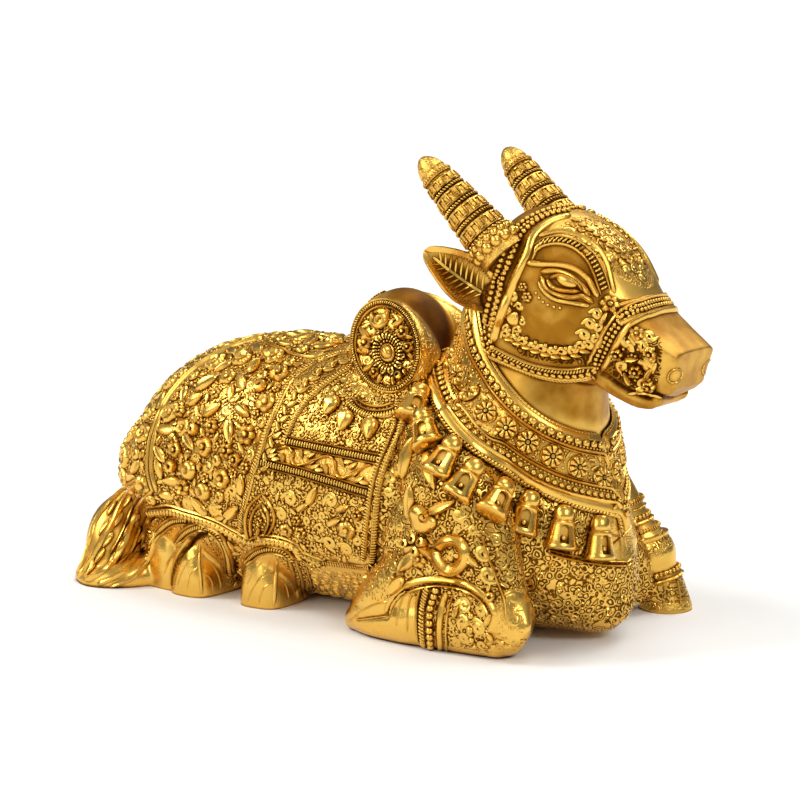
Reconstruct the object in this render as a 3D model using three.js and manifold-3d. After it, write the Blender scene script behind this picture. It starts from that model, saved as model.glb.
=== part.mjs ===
// A reclining bull with saddle cloth, collar, bells and anklets, cast in brass as one piece.
// Millimetres, +X towards the muzzle, +Y to the bull's left, +Z up. It lies on z = 0, centred in X and Y.
import * as THREE from 'three';
import { mergeVertices } from 'three/addons/utils/BufferGeometryUtils.js';
import Module from 'manifold-3d';

const wasm = await Module();
wasm.setup();

// Overall length from tail tuft to muzzle. Pose and limbs are drawn 210 long and follow this length.
const LENGTH = 210;
const DRAWN_LENGTH = 210;
const UNIT = LENGTH / DRAWN_LENGTH;

// Dress, relief and features, each set by itself.
const CLOTH_THICKNESS = 1.3;
const CLOTH_EDGE_WIDTH = 3.6;
const CLOTH_EDGE_RISE = 0.9;
const COLLAR_THICKNESS = 1.6;
const COLLAR_RIM_WIDTH = 3.4;
const COLLAR_RIM_RISE = 1;
const HEAD_STRAP_WIDTH = 7;
const HEAD_STRAP_RISE = 1.3;
const NOSE_BAND_WIDTH = 6;
const BELLS_EACH_SIDE = 8;
const BELL_HEIGHT = 11;
const BELL_WIDTH = 8.4;
const ROSETTES_EACH_SIDE = 9;
const ROSETTE_WIDTH = 7;
const ROSETTE_RISE = 1.1;
const HORN_LENGTH = 34.5;
const HORN_BASE_WIDTH = 14.5;
const HORN_RINGS = 4;
const HUMP_HEIGHT = 34;
const HUMP_LENGTH = 29;
const HUMP_WIDTH = 17;
const EAR_LENGTH = 26;
const ANKLET_RISE = 1.2;
const EYE_LENGTH = 15;
const EYE_RISE = 2.2;
const BROW_RADIUS = 1.5;

const X = new THREE.Vector3(1, 0, 0);
const Y = new THREE.Vector3(0, 1, 0);
const Z = new THREE.Vector3(0, 0, 1);

// A place on the drawn figure.
const at = (x, y, z) => new THREE.Vector3(x, y, z).multiplyScalar(UNIT);

// Turns a closed three.js geometry into a solid that can be joined and cut.
function solid(geometry) {
  const bare = new THREE.BufferGeometry();
  const flat = geometry.index ? geometry.toNonIndexed() : geometry;
  bare.setAttribute('position', flat.getAttribute('position'));
  const merged = mergeVertices(bare, 1e-4);
  return new wasm.Manifold(new wasm.Mesh({
    numProp: 3,
    vertProperties: new Float32Array(merged.attributes.position.array),
    triVerts: new Uint32Array(merged.index.array),
  }));
}

function geometryOf(body) {
  const mesh = body.getMesh();
  const geometry = new THREE.BufferGeometry();
  geometry.setAttribute('position', new THREE.BufferAttribute(new Float32Array(mesh.vertProperties), 3));
  geometry.setIndex(new THREE.BufferAttribute(new Uint32Array(mesh.triVerts), 1));
  return geometry;
}

const join = (pieces) => pieces.reduce((whole, piece) => whole.add(piece));

// One station of a loft: a rounded section about a centre, with half sizes to the side, up and down.
const oval = (centre, wide, up, down = up, power = 2) => [
  ...centre.toArray(), wide * UNIT, up * UNIT, down * UNIT, power,
];

// A closed body through oval stations. Sections stand square to `axis`, or to the path when none is given,
// and `side` is the direction of their half width. `grow` adds an even skin all over.
function loft(stations, { sides = 24, steps = 16, axis = null, side = Y, grow = 0 } = {}) {
  const smooth = new THREE.CubicInterpolant(
    stations.map((_, i) => i), stations.flat(), stations[0].length);
  const last = stations.length - 1;
  const read = (t) => Array.from(smooth.evaluate(THREE.MathUtils.clamp(t, 0, last)));
  const tube = new THREE.CylinderGeometry(1, 1, 1, sides, steps);
  const position = tube.getAttribute('position');
  const centre = new THREE.Vector3();
  const point = new THREE.Vector3();
  for (let i = 0; i < position.count; i++) {
    const t = (position.getY(i) + 0.5) * last;
    const [x, y, z, wide, up, down, power] = read(t);
    const ahead = axis ? axis.clone() : new THREE.Vector3(...read(t + 0.05).slice(0, 3))
      .sub(new THREE.Vector3(...read(t - 0.05).slice(0, 3)));
    ahead.normalize();
    const across = side.clone().addScaledVector(ahead, -side.dot(ahead)).normalize();
    const above = new THREE.Vector3().crossVectors(ahead, across);
    const a = position.getX(i);
    const b = position.getZ(i);
    const reach = Math.hypot(a, b);
    const end = t < 1e-6 ? -1 : t > last - 1e-6 ? 1 : 0;
    centre.set(x, y, z).addScaledVector(ahead, end * grow);
    point.copy(centre);
    if (reach > 1e-6) {
      const bend = (v) => Math.sign(v) * Math.abs(v / reach) ** (2 / power);
      point.addScaledVector(across, bend(a) * (wide + grow));
      point.addScaledVector(above, bend(b) * ((b > 0 ? up : down) + grow));
    }
    position.setXYZ(i, point.x, point.y, point.z);
  }
  const body = solid(tube);
  return body.volume() > 0 ? body : solid(turned(tube));
}

// The same faces pointing the other way.
function turned(geometry) {
  const flipped = geometry.toNonIndexed();
  const p = flipped.getAttribute('position');
  for (let i = 0; i < p.count; i += 3) {
    const [x, y, z] = [p.getX(i), p.getY(i), p.getZ(i)];
    p.setXYZ(i, p.getX(i + 1), p.getY(i + 1), p.getZ(i + 1));
    p.setXYZ(i + 1, x, y, z);
  }
  return flipped;
}

// Puts a shape made about the origin, with +Z as its own axis, at a place and along a direction.
function place(geometry, where, along, scale = 1) {
  const turn = new THREE.Quaternion().setFromUnitVectors(Z, along.clone().normalize());
  return geometry.clone().applyMatrix4(
    new THREE.Matrix4().compose(where, turn, new THREE.Vector3(scale, scale, scale)));
}

// A round raised ring about a limb.
function ring(where, along, radius, thickness) {
  const tore = new THREE.TorusGeometry(radius * UNIT, thickness, 3, 8);
  return solid(place(tore, where, along));
}

// A side view outline in X and Z, pulled out across the whole figure.
function sideways(outline) {
  const reach = 90 * UNIT;
  const bar = new THREE.ExtrudeGeometry(outline, { depth: 2 * reach, bevelEnabled: false });
  bar.rotateX(Math.PI / 2);
  bar.translate(0, reach, 0);
  return solid(bar);
}

const barrelStations = [
  [-101, 7, 41, 20], [-98, 16, 52, 10], [-91, 24, 61.5, 4], [-80, 31, 71, 1], [-66, 36.5, 78, 0],
  [-48, 39.5, 82, 0], [-30, 40, 82.5, 0], [-10, 39.5, 81, 0], [12, 39, 80, 0], [32, 37, 77, 0],
  [48, 33, 72, 0.5], [61, 27.5, 63, 1.5], [70, 22, 54, 2], [76, 15.5, 46, 4], [80, 7, 40, 10],
].map(([x, wide, top, low]) => oval(at(x, 0, (top + low) / 2), wide, (top - low) / 2));

const barrel = (grow = 0) => loft(barrelStations, { sides: 16, steps: 14, axis: X, grow });

// The neck leans forward and carries the head.
const NECK_AXIS = new THREE.Vector3(0.16, 0, 1).normalize();
const neckStations = [
  oval(at(44, 0, 36), 27, 35, 32), oval(at(47, 0, 52), 27, 31, 27.5), oval(at(49, 0, 66), 24.5, 28, 23.5),
  oval(at(51.5, 0, 80), 21.5, 27, 20.5), oval(at(54, 0, 93), 20, 25, 17), oval(at(56, 0, 106), 18, 19, 12),
];

const neck = (grow = 0) => loft(neckStations, { sides: 15, steps: 5, axis: NECK_AXIS, grow });

// Head frame: s runs from poll to nose, t stands square to it in the middle plane.
const HEAD_TILT = THREE.MathUtils.degToRad(33);
const HEAD_AXIS = new THREE.Vector3(Math.cos(HEAD_TILT), 0, -Math.sin(HEAD_TILT));
const HEAD_UP = new THREE.Vector3(Math.sin(HEAD_TILT), 0, Math.cos(HEAD_TILT));
const HEAD_ORIGIN = at(48, 0, 108);
const onHead = (s, y, t) => HEAD_ORIGIN.clone()
  .addScaledVector(HEAD_AXIS, s * UNIT).addScaledVector(HEAD_UP, t * UNIT).addScaledVector(Y, y * UNIT);

// Each row: s, half width, top t, low t, squareness.
const headStations = [
  [-12, 9, 12, -8, 2], [-9.5, 15, 18, -12, 2], [-4, 19.5, 22.5, -15.5, 2], [3, 22, 25.5, -17, 2.1],
  [13, 22, 26.6, -17, 2.2], [22, 20.5, 25.6, -15.8, 2.3], [31, 17.5, 22, -13, 2.5], [39, 15.4, 18.6, -10.4, 2.9],
  [47, 14.6, 16.6, -8.6, 4], [54, 13.4, 15.8, -7, 5.5], [59, 12.2, 15.4, -2, 6], [62.5, 11.5, 15, 3, 6],
].map(([s, wide, top, low, power]) => {
  const half = (top - low) / 2;
  return oval(onHead(s, 0, (top + low) / 2), wide, half, half, power);
});

// The nose ends in a flat, nearly upright face.
const NOSE_TOP = [104.2, 93];
const NOSE_LOW = [99.4, 70];
function head(grow = 0) {
  const ahead = sideways(outline([NOSE_LOW, [130, 70], [130, 93], NOSE_TOP]));
  return loft(headStations, { sides: 16, steps: 12, axis: HEAD_AXIS, grow }).subtract(ahead);
}

// The hind quarter bulges beside the barrel, with the shank folded under it.
function hindQuarter(s) {
  const thigh = new THREE.SphereGeometry(1, 11, 6);
  thigh.scale(31 * UNIT, 17 * UNIT, 22 * UNIT);
  thigh.rotateY(THREE.MathUtils.degToRad(-14));
  const hip = at(-63, 21 * s, 41);
  thigh.translate(hip.x, hip.y, hip.z);
  const shank = loft([
    oval(at(-90, 14 * s, 8), 7, 8), oval(at(-80, 16 * s, 9), 9, 9), oval(at(-68, 16 * s, 9), 9.5, 9),
    oval(at(-52, 15 * s, 8), 8, 8),
  ], { sides: 8, steps: 3 });
  return join([solid(thigh), shank]);
}

// One toe of a hoof: domed on top, keeled in front, flat below.
function toe(from, to, wide, high) {
  const along = to.clone().sub(from);
  const mid = (share) => from.clone().addScaledVector(along, share);
  return loft([
    oval(mid(0), wide, high, 3, 2.4), oval(mid(0.7), wide, high, 3, 2.4),
    oval(mid(0.92), wide * 0.9, high * 0.86, 3, 2.4), oval(mid(1), wide * 0.6, high * 0.64, 3, 2.4),
  ], { sides: 10, steps: 3, side: X });
}

// The two hind hooves come out on the near side, below the thigh and below the cloth.
function hindHooves() {
  return join([
    toe(at(-72, -14, 0), at(-75, -29.5, 0), 7.5, 20),
    toe(at(-60, -14, 0), at(-61.5, -33, 0), 7.8, 19),
    toe(at(-34, -14, 0), at(-33, -32, 0), 7.8, 19.5),
  ]);
}

function foldedForeleg() {
  const s = -1;
  const arm = loft([
    oval(at(32, 24 * s, 62), 13, 13), oval(at(40, 30 * s, 48), 14, 17), oval(at(51, 33.5 * s, 33), 10.5, 17),
    oval(at(61, 34.5 * s, 19), 9.5, 13), oval(at(66, 34.5 * s, 9), 9, 8.5),
  ], { sides: 10, steps: 4 });
  const elbow = loft([
    oval(at(48, 29 * s, 30), 15, 13), oval(at(33, 31 * s, 20), 14, 14), oval(at(19, 32 * s, 10), 11, 11),
    oval(at(7, 33 * s, 4), 6, 6),
  ], { sides: 8, steps: 3 });
  const shank = loft([
    oval(at(73, 33 * s, 8), 4, 4), oval(at(70, 33.2 * s, 9.5), 8, 9.5),
    oval(at(62, 33.6 * s, 10), 9.8, 11), oval(at(48, 34.6 * s, 9.5), 9.2, 11),
    oval(at(36, 35.4 * s, 8.5), 8.3, 10), oval(at(27, 35.8 * s, 8), 8.4, 9.5),
    oval(at(15, 35 * s, 6), 7.2, 7.5), oval(at(7, 34 * s, 3.5), 4, 3.5), oval(at(4, 33.5 * s, 2.5), 1.2, 1.2),
  ], { sides: 10, steps: 9 });
  const along = X;
  return join([arm, elbow, shank,
    ring(at(34, 35.4 * s, 8.5), along, 9, ANKLET_RISE), ring(at(40.5, 35 * s, 9), along, 9.6, ANKLET_RISE)]);
}

function raisedForeleg() {
  const arm = loft([
    oval(at(32, 20, 52), 12, 13), oval(at(42, 25.5, 49), 10, 12), oval(at(50, 30, 44.5), 8, 9.5),
    oval(at(55.5, 33, 39.5), 7, 7.5), oval(at(58.5, 35, 34), 6, 6),
  ], { sides: 9, steps: 4 });
  const shank = loft([
    oval(at(53.5, 33, 44.5), 4, 4), oval(at(56, 34.3, 39.5), 6.4, 6.4),
    oval(at(59.8, 36.3, 32), 6.4, 6.4), oval(at(63.4, 38.3, 25), 6.2, 6.2),
    oval(at(67.2, 40.5, 17.5), 8.3, 8.3), oval(at(69.6, 41.5, 11.5), 6.4, 6.4),
    oval(at(70.6, 42, 9), 6.8, 6.8), oval(at(72, 42.3, 0.5), 8.4, 8.6), oval(at(72, 42.3, -1), 8.4, 8.6),
  ], { sides: 9, steps: 10 });
  const along = new THREE.Vector3(0.2, 0.12, -1);
  const brace = loft([
    oval(at(56, 21, 30), 12, 12), oval(at(62, 29, 18), 9.5, 9), oval(at(66.5, 36, 5), 7, 6),
  ], { sides: 8, steps: 2, side: X });
  return join([arm, shank, brace,
    ring(at(60.2, 36.6, 31), along, 6.6, ANKLET_RISE),
    ring(at(64.2, 38.8, 23.4), along, 6.8, ANKLET_RISE), ring(at(70, 41.7, 10.5), along, 7, ANKLET_RISE)]);
}

// Hump: an upright thick disc with rounded rims and a round medal on both faces.
const HUMP_CENTRE = at(1.5, 0, 83.5);
function hump() {
  const half = HUMP_WIDTH / 2;
  const rim = 4;
  const share = rim / HUMP_HEIGHT * 2;
  const profile = [new THREE.Vector2(0, -half)];
  for (let i = 0; i <= 3; i++) {
    const turn = Math.PI * (i / 3 - 0.5);
    profile.push(new THREE.Vector2(1 - share * (1 - Math.cos(turn)), Math.sin(turn) * half));
  }
  profile.push(new THREE.Vector2(0, half));
  const disc = new THREE.LatheGeometry(profile, 15);
  disc.scale(HUMP_LENGTH / 2, 1, HUMP_HEIGHT / 2);
  const body = solid(disc.clone().translate(HUMP_CENTRE.x, HUMP_CENTRE.y, HUMP_CENTRE.z));
  const skirt = loft([
    oval(HUMP_CENTRE.clone().add(at(2, 0, -2)), HUMP_WIDTH * 0.44, 12, 12),
    oval(HUMP_CENTRE.clone().add(at(4, 0, -10)), HUMP_WIDTH * 0.55, 19, 14),
    oval(HUMP_CENTRE.clone().add(at(6, 0, -22)), HUMP_WIDTH * 0.8, 24, 16),
  ], { sides: 10, steps: 2, axis: Z.clone().negate() });
  return join([body, skirt, medal(-1), medal(1)]);
}

function medal(s) {
  const rise = 1.6;
  const profile = [[0, 2.6], [0.3, 0.4], [0.8, 0.4], [0.87, 1.4], [0.97, -1], [0, -1]]
    .map(([r, h]) => new THREE.Vector2(r, h / rise));
  const disc = new THREE.LatheGeometry(profile.reverse(), 10);
  disc.scale(HUMP_LENGTH / 2, rise, HUMP_HEIGHT / 2);
  if (s < 0) disc.rotateX(Math.PI);
  disc.translate(HUMP_CENTRE.x, HUMP_CENTRE.y + s * HUMP_WIDTH / 2, HUMP_CENTRE.z);
  return solid(disc);
}

// A cloth over the back, between its rear and front edges in side view.
const CLOTH_REAR = [[-12, 96], [-18, 78], [-22.5, 72], [-25, 58], [-27, 44], [-33, 24]];
const CLOTH_FRONT = [[14, 20], [18.5, 38], [21.5, 52], [23, 64], [22, 74], [16, 96]];
// Height of the cross band between the upper and lower panel of the cloth.
const BAND_HEIGHT = 46;
function outline(points) {
  return new THREE.Shape(points.map(([x, z]) => new THREE.Vector2(x * UNIT, z * UNIT)));
}

function saddleCloth() {
  const whole = sideways(outline([...CLOTH_REAR, ...CLOTH_FRONT]));
  const inset = CLOTH_EDGE_WIDTH / UNIT;
  const rearIn = CLOTH_REAR.map(([x, z]) => [x + inset, z]);
  const frontIn = CLOTH_FRONT.map(([x, z]) => [x - inset, z]);
  rearIn[rearIn.length - 1][1] += inset;
  frontIn[0][1] += inset;
  const bandTop = BAND_HEIGHT + inset;
  const upper = sideways(outline([[-40, bandTop + 3], [40, bandTop], [40, 120], [-40, 120]]));
  const lower = sideways(outline([[-40, 0], [40, 0], [40, BAND_HEIGHT - 3], [-40, BAND_HEIGHT]]));
  const inside = sideways(outline([...rearIn, ...frontIn]));
  const panels = join([inside.intersect(upper), inside.intersect(lower)]);
  const skin = barrel(CLOTH_THICKNESS).intersect(whole);
  const edges = barrel(CLOTH_THICKNESS + CLOTH_EDGE_RISE).intersect(whole.subtract(panels));
  return join([skin, edges]);
}

// The collar lies between two slanting planes. `lower` shifts both edges down the chest.
const COLLAR_TOP_BACK = [29, 92.5];
const COLLAR_TOP_FRONT = [77, 59.5];
const COLLAR_LOW_BACK = [22, 85.5];
const COLLAR_LOW_FRONT = [84, 37];
function between(low, high) {
  const mix = (a, b, k) => [a[0] + (b[0] - a[0]) * k, a[1] + (b[1] - a[1]) * k];
  const edge = (k) => {
    const back = mix(COLLAR_LOW_BACK, COLLAR_TOP_BACK, k);
    const front = mix(COLLAR_LOW_FRONT, COLLAR_TOP_FRONT, k);
    return [mix(back, front, -0.3), mix(back, front, 1.3)];
  };
  const [lowBack, lowFront] = edge(low);
  const [highBack, highFront] = edge(high);
  return sideways(outline([lowBack, lowFront, highFront, highBack]));
}

const chest = (grow) => join([neck(grow), barrel(grow)]);

const COLLAR_BREADTH = 22;
function collar() {
  const rim = COLLAR_RIM_WIDTH / (COLLAR_BREADTH * UNIT);
  const band = chest(COLLAR_THICKNESS).intersect(between(0, 1));
  const raised = chest(COLLAR_THICKNESS + COLLAR_RIM_RISE);
  return join([band, raised.intersect(between(0, rim)), raised.intersect(between(1 - rim, 1))]);
}

// Finds the outer surface of a body from far outside, looking straight at a point inside it.
function surfaceFinder(body) {
  const mesh = new THREE.Mesh(geometryOf(body), new THREE.MeshBasicMaterial());
  mesh.geometry.computeVertexNormals();
  const caster = new THREE.Raycaster();
  return (centre, outward) => {
    caster.set(centre.clone().addScaledVector(outward, 200 * UNIT), outward.clone().negate());
    const hit = caster.intersectObject(mesh)[0];
    return { point: hit.point, normal: hit.face.normal.clone() };
  };
}

// Places round the collar at a share of its height, evenly turned about the neck from front to back.
function roundCollar(find, share, angle, s) {
  const back = [COLLAR_LOW_BACK, COLLAR_TOP_BACK].map(([x, z]) => at(x, 0, z));
  const front = [COLLAR_LOW_FRONT, COLLAR_TOP_FRONT].map(([x, z]) => at(x, 0, z));
  const b = back[0].clone().lerp(back[1], share);
  const f = front[0].clone().lerp(front[1], share);
  const centre = b.clone().lerp(f, 0.5);
  const ahead = f.clone().sub(b).normalize();
  const outward = ahead.multiplyScalar(Math.cos(angle)).addScaledVector(Y, s * Math.sin(angle)).normalize();
  return find(centre, outward);
}

function bell(where, normal) {
  const w = BELL_WIDTH / 2;
  const h = BELL_HEIGHT;
  const profile = [[0, 0], [w, 0], [w * 0.75, h * 0.75], [0, h]]
    .map(([r, y]) => new THREE.Vector2(r, y));
  const shape = new THREE.LatheGeometry(profile, 6);
  shape.rotateX(Math.PI / 2);
  const up = Z.clone().addScaledVector(normal, -Z.dot(normal)).normalize();
  return solid(place(shape, where.clone().addScaledVector(up, -h * 0.72).addScaledVector(normal, w * 0.4), up));
}

function rosette(where, normal) {
  const profile = [[0, -1], [1, -1], [0.8, 0.8], [0, 1]]
    .map(([r, h]) => new THREE.Vector2(r * ROSETTE_WIDTH / 2, h * ROSETTE_RISE));
  const disc = new THREE.LatheGeometry(profile, 6);
  disc.rotateX(Math.PI / 2);
  return solid(place(disc, where, normal));
}

function collarDress() {
  const find = surfaceFinder(chest(COLLAR_THICKNESS));
  const pieces = [];
  for (const s of [-1, 1]) {
    for (let i = 0; i < BELLS_EACH_SIDE; i++) {
      const angle = THREE.MathUtils.degToRad(12 + 128 * (i + 0.5) / BELLS_EACH_SIDE);
      const { point, normal } = roundCollar(find, -0.18, angle, s);
      pieces.push(bell(point, normal));
    }
    for (let i = 0; i < ROSETTES_EACH_SIDE; i++) {
      const angle = THREE.MathUtils.degToRad(14 + 134 * (i + 0.5) / ROSETTES_EACH_SIDE);
      const { point, normal } = roundCollar(find, 0.5, angle, s);
      pieces.push(rosette(point, normal));
    }
  }
  return join(pieces);
}

// Straps of the bridle: flat slices of a grown head.
function bridle() {
  const grown = head(HEAD_STRAP_RISE);
  const strip = (a, b, width) => {
    const along = new THREE.Vector2(b[0] - a[0], b[1] - a[1]).normalize();
    const off = new THREE.Vector2(-along.y, along.x).multiplyScalar(width / UNIT / 2);
    const corner = (p, k) => {
      const spot = onHead(p[0] + off.x * k, 0, p[1] + off.y * k);
      return new THREE.Vector2(spot.x, spot.z);
    };
    return sideways(new THREE.Shape([corner(a, 1), corner(a, -1), corner(b, -1), corner(b, 1)]));
  };
  const behindEye = strip([-6, -22], [6, 34], HEAD_STRAP_WIDTH);
  const noseBand = strip([31, -20], [47, 28], NOSE_BAND_WIDTH);
  return join([grown.intersect(behindEye), grown.intersect(noseBand)]);
}

// Brow ridge and lidded eye on both sides.
function eyes() {
  const find = surfaceFinder(head());
  const pieces = [];
  for (const s of [-1, 1]) {
    const onSide = (along, up) => find(onHead(along, 0, up), Y.clone().multiplyScalar(s)).point;
    const lid = new THREE.SphereGeometry(1, 8, 4);
    lid.scale(EYE_LENGTH / 2, EYE_RISE, EYE_LENGTH * 0.27);
    lid.rotateY(HEAD_TILT + 0.1);
    const eye = onSide(20, 9);
    pieces.push(solid(lid.translate(eye.x, eye.y, eye.z)));
    const brow = new THREE.CatmullRomCurve3(
      [[6, 13], [11, 18], [18, 19.5], [25, 16.5], [30, 10], [32, 6]].map(([a, b]) => onSide(a, b)));
    const section = new THREE.Shape(new THREE.Path().absarc(0, 0, BROW_RADIUS, 0, 2 * Math.PI).getPoints(3));
    const ridge = new THREE.ExtrudeGeometry(section, { steps: 5, bevelEnabled: false, extrudePath: brow });
    pieces.push(solid(ridge));
  }
  return join(pieces);
}

function horn(s) {
  const root = at(47.6, 19.8 * s, 118.6);
  const tip = at(23.6, 23 * s, 143);
  const along = tip.clone().sub(root).normalize();
  const profile = [new THREE.Vector2(0, -6)];
  const r = HORN_BASE_WIDTH / 2;
  profile.push(new THREE.Vector2(r, -6), new THREE.Vector2(r * 1.12, 0), new THREE.Vector2(r * 1.12, 2.5));
  for (let i = 0; i < HORN_RINGS; i++) {
    const from = 3.5 + (HORN_LENGTH - 8) * i / HORN_RINGS;
    const to = 3.5 + (HORN_LENGTH - 8) * (i + 1) / HORN_RINGS;
    const wide = (h) => r * (1 - 0.5 * (h / HORN_LENGTH) ** 1.1);
    profile.push(new THREE.Vector2(wide(from) * 0.93, from), new THREE.Vector2(wide(from) * 1.03, from + 1));
    profile.push(new THREE.Vector2(wide(to) * 1.02, to - 0.4));
  }
  profile.push(new THREE.Vector2(r * 0.4, HORN_LENGTH - 2));
  profile.push(new THREE.Vector2(0, HORN_LENGTH));
  const cone = new THREE.LatheGeometry(profile, 8);
  cone.rotateX(Math.PI / 2);
  return solid(place(cone, root, along));
}

// A leaf shaped ear, hollowed on the side that faces forward and out.
function ear(s) {
  const root = at(47, 20 * s, 102.5);
  const tip = root.clone().add(at(-15, 18 * s, 17).setLength(EAR_LENGTH));
  const along = tip.clone().sub(root);
  const face = new THREE.Vector3(0.75, 0.55 * s, 0.1);
  const mid = (share) => root.clone().addScaledVector(along, share);
  const side = new THREE.Vector3().crossVectors(along, face).normalize();
  const leaf = loft([
    oval(mid(-0.15), 4, 4), oval(mid(0.1), 7, 4), oval(mid(0.4), 10, 3.6), oval(mid(0.7), 7.6, 2.8),
    oval(mid(0.9), 3, 2), oval(mid(1), 0.8, 0.9),
  ], { sides: 9, steps: 5, side });
  const above = new THREE.Vector3().crossVectors(along.clone().normalize(), side);
  const scoop = loft([
    oval(mid(0.16), 2, 2.5), oval(mid(0.4), 5.4, 3.4), oval(mid(0.68), 3.8, 2.6), oval(mid(0.84), 1, 1),
  ], { sides: 7, steps: 3, side });
  const lift = above.multiplyScalar(3.4 * UNIT * s);
  return leaf.subtract(scoop.translate(lift.toArray()));
}

function tail() {
  const rope = loft([
    oval(at(-91, 2, 58), 4, 3), oval(at(-97, -5, 44), 4, 4), oval(at(-96.5, -12, 33), 4.5, 4.5),
    oval(at(-94.5, -18, 25), 6, 6), oval(at(-97.5, -24, 17), 8.5, 8), oval(at(-96, -29, 9), 9, 8),
    oval(at(-99, -34, 4), 6, 5), oval(at(-104, -36.5, 1.5), 1.5, 1.5),
  ], { sides: 8, steps: 6, side: X });
  const foot = loft([
    oval(at(-82, -25, 2), 6, 8), oval(at(-88, -31, 2), 8, 6), oval(at(-95, -35.5, 1), 7, 5),
    oval(at(-104, -36.5, 1), 1.5, 1.5),
  ], { sides: 7, steps: 3 });
  return join([rope, foot]);
}

function figure() {
  const body = join([
    barrel(), neck(), head(), hump(), saddleCloth(), collar(), collarDress(), bridle(), eyes(),
    hindQuarter(-1), hindQuarter(1), hindHooves(), foldedForeleg(), raisedForeleg(),
    horn(-1), horn(1), ear(-1), ear(1), tail(),
  ]);
  const ground = new THREE.BoxGeometry(400 * UNIT, 400 * UNIT, 40 * UNIT).translate(0, 0, -20 * UNIT);
  return body.subtract(solid(ground));
}

const brass = new THREE.MeshStandardMaterial({ name: 'brass', color: 0xd9a23a, metalness: 1, roughness: 0.3 });
const shape = geometryOf(figure());
shape.computeBoundingBox();
const middle = shape.boundingBox.getCenter(new THREE.Vector3());
shape.translate(-middle.x, -middle.y, -shape.boundingBox.min.z);
const bull = new THREE.Mesh(shape, brass);
bull.name = 'bull_figure';

const group = new THREE.Group();
group.add(bull);
export default group;
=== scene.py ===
import math

import bpy
import numpy as np
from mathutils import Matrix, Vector
from mathutils.bvhtree import BVHTree


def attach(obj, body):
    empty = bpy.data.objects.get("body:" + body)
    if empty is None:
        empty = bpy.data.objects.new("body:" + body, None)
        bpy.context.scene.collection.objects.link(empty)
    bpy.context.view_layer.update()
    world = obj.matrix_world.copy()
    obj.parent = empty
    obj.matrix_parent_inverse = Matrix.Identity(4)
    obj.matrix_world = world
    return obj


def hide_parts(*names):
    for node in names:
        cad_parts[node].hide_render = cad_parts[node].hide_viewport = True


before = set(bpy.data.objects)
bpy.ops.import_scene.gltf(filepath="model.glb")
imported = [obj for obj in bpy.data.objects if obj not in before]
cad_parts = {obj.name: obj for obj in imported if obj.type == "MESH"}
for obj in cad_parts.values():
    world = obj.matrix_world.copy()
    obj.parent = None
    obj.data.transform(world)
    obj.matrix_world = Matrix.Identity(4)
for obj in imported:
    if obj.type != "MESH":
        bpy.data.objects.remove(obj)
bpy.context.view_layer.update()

bl_info = {
    "name": "Nandi bull figure",
    "version": (1, 0, 0),
    "blender": (4, 5, 0),
    "location": "View3D > Sidebar > Nandi",
    "description": "Models a reclining nandi bull in chased, polished cast brass, piece by piece",
    "category": "Add Mesh",
}

MM = 0.001
# The figure is drawn in millimetres about its own middle line, and this shift puts it in the frame.
SHIFT = np.array((0.789, -2.4455, 0.0))
X, Y, Z = np.eye(3)

# The camera, as solved from the photograph: turn, rise, focal length in pixels, distance in mm, and the
# side of its square picture in pixels.
LOOK_AT = np.array((0.0, 0.0, 65.0))
VIEW_TURN, VIEW_RISE, VIEW_PIXELS, VIEW_DISTANCE = math.radians(35), math.radians(10), 2500.0, 781.25
PICTURE = 800
VIEW_BACK = np.array((math.sin(VIEW_TURN) * math.cos(VIEW_RISE), -math.cos(VIEW_TURN) * math.cos(VIEW_RISE),
                      math.sin(VIEW_RISE)))
VIEW_RIGHT = np.array((math.cos(VIEW_TURN), math.sin(VIEW_TURN), 0.0))
VIEW_UP = np.cross(VIEW_BACK, VIEW_RIGHT)
EYE = LOOK_AT + VIEW_BACK * VIEW_DISTANCE

# What one step leaves for the next: patterns, surfaces, the body's points, and places with relief.
SHAPES = {}
TREES = {}
GROUND = {}
TAKEN = []


# Hand tools

def deselect():
    if bpy.context.object and bpy.context.object.mode != "OBJECT":
        bpy.ops.object.mode_set(mode="OBJECT")
    bpy.ops.object.select_all(action="DESELECT")


def pick(*pieces):
    deselect()
    for piece in pieces:
        piece.select_set(True)
    bpy.context.view_layer.objects.active = pieces[0]


def points(piece, what="co"):
    """The places of a piece's points, or their normals."""
    flat = np.empty(len(piece.data.vertices) * 3, dtype=np.float32)
    piece.data.vertices.foreach_get(what, flat)
    return flat.reshape(-1, 3).astype(float)


def move_points(piece, where):
    piece.data.vertices.foreach_set("co", np.asarray(where, dtype=np.float32).ravel())
    piece.data.update()


def modify(piece, kind, **settings):
    pick(piece)
    modifier = piece.modifiers.new(kind.lower(), kind)
    for key, value in settings.items():
        setattr(modifier, key, value)
    bpy.ops.object.modifier_apply(modifier=modifier.name)


def join(pieces, name):
    pick(*pieces)
    bpy.ops.object.join()
    pieces[0].name = name
    return pieces[0]


def unit(v):
    v = np.asarray(v, float)
    return v / np.maximum(np.linalg.norm(v, axis=-1, keepdims=True), 1e-12)


def glide(rows, t):
    """Rows of numbers read smoothly at places t, counted in rows."""
    rows = np.asarray(rows, float)
    t = np.clip(np.asarray(t, float), 0, len(rows) - 1)
    if len(rows) == 2:
        return rows[0] + (rows[1] - rows[0]) * t[:, None]
    held = np.vstack((2 * rows[0] - rows[1], rows, 2 * rows[-1] - rows[-2]))
    i = np.minimum(t.astype(int), len(rows) - 2)
    p = (t - i)[:, None]
    a, b, c, d = (held[i + k] for k in range(4))
    return 0.5 * (2 * b + (c - a) * p + (2 * a - 5 * b + 4 * c - d) * p ** 2
                  + (3 * b - a - 3 * c + d) * p ** 3)


def oval(x, y, z, wide, up, down=None, power=2.0):
    return (x, y, z, wide, up, up if down is None else down, power)


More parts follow.
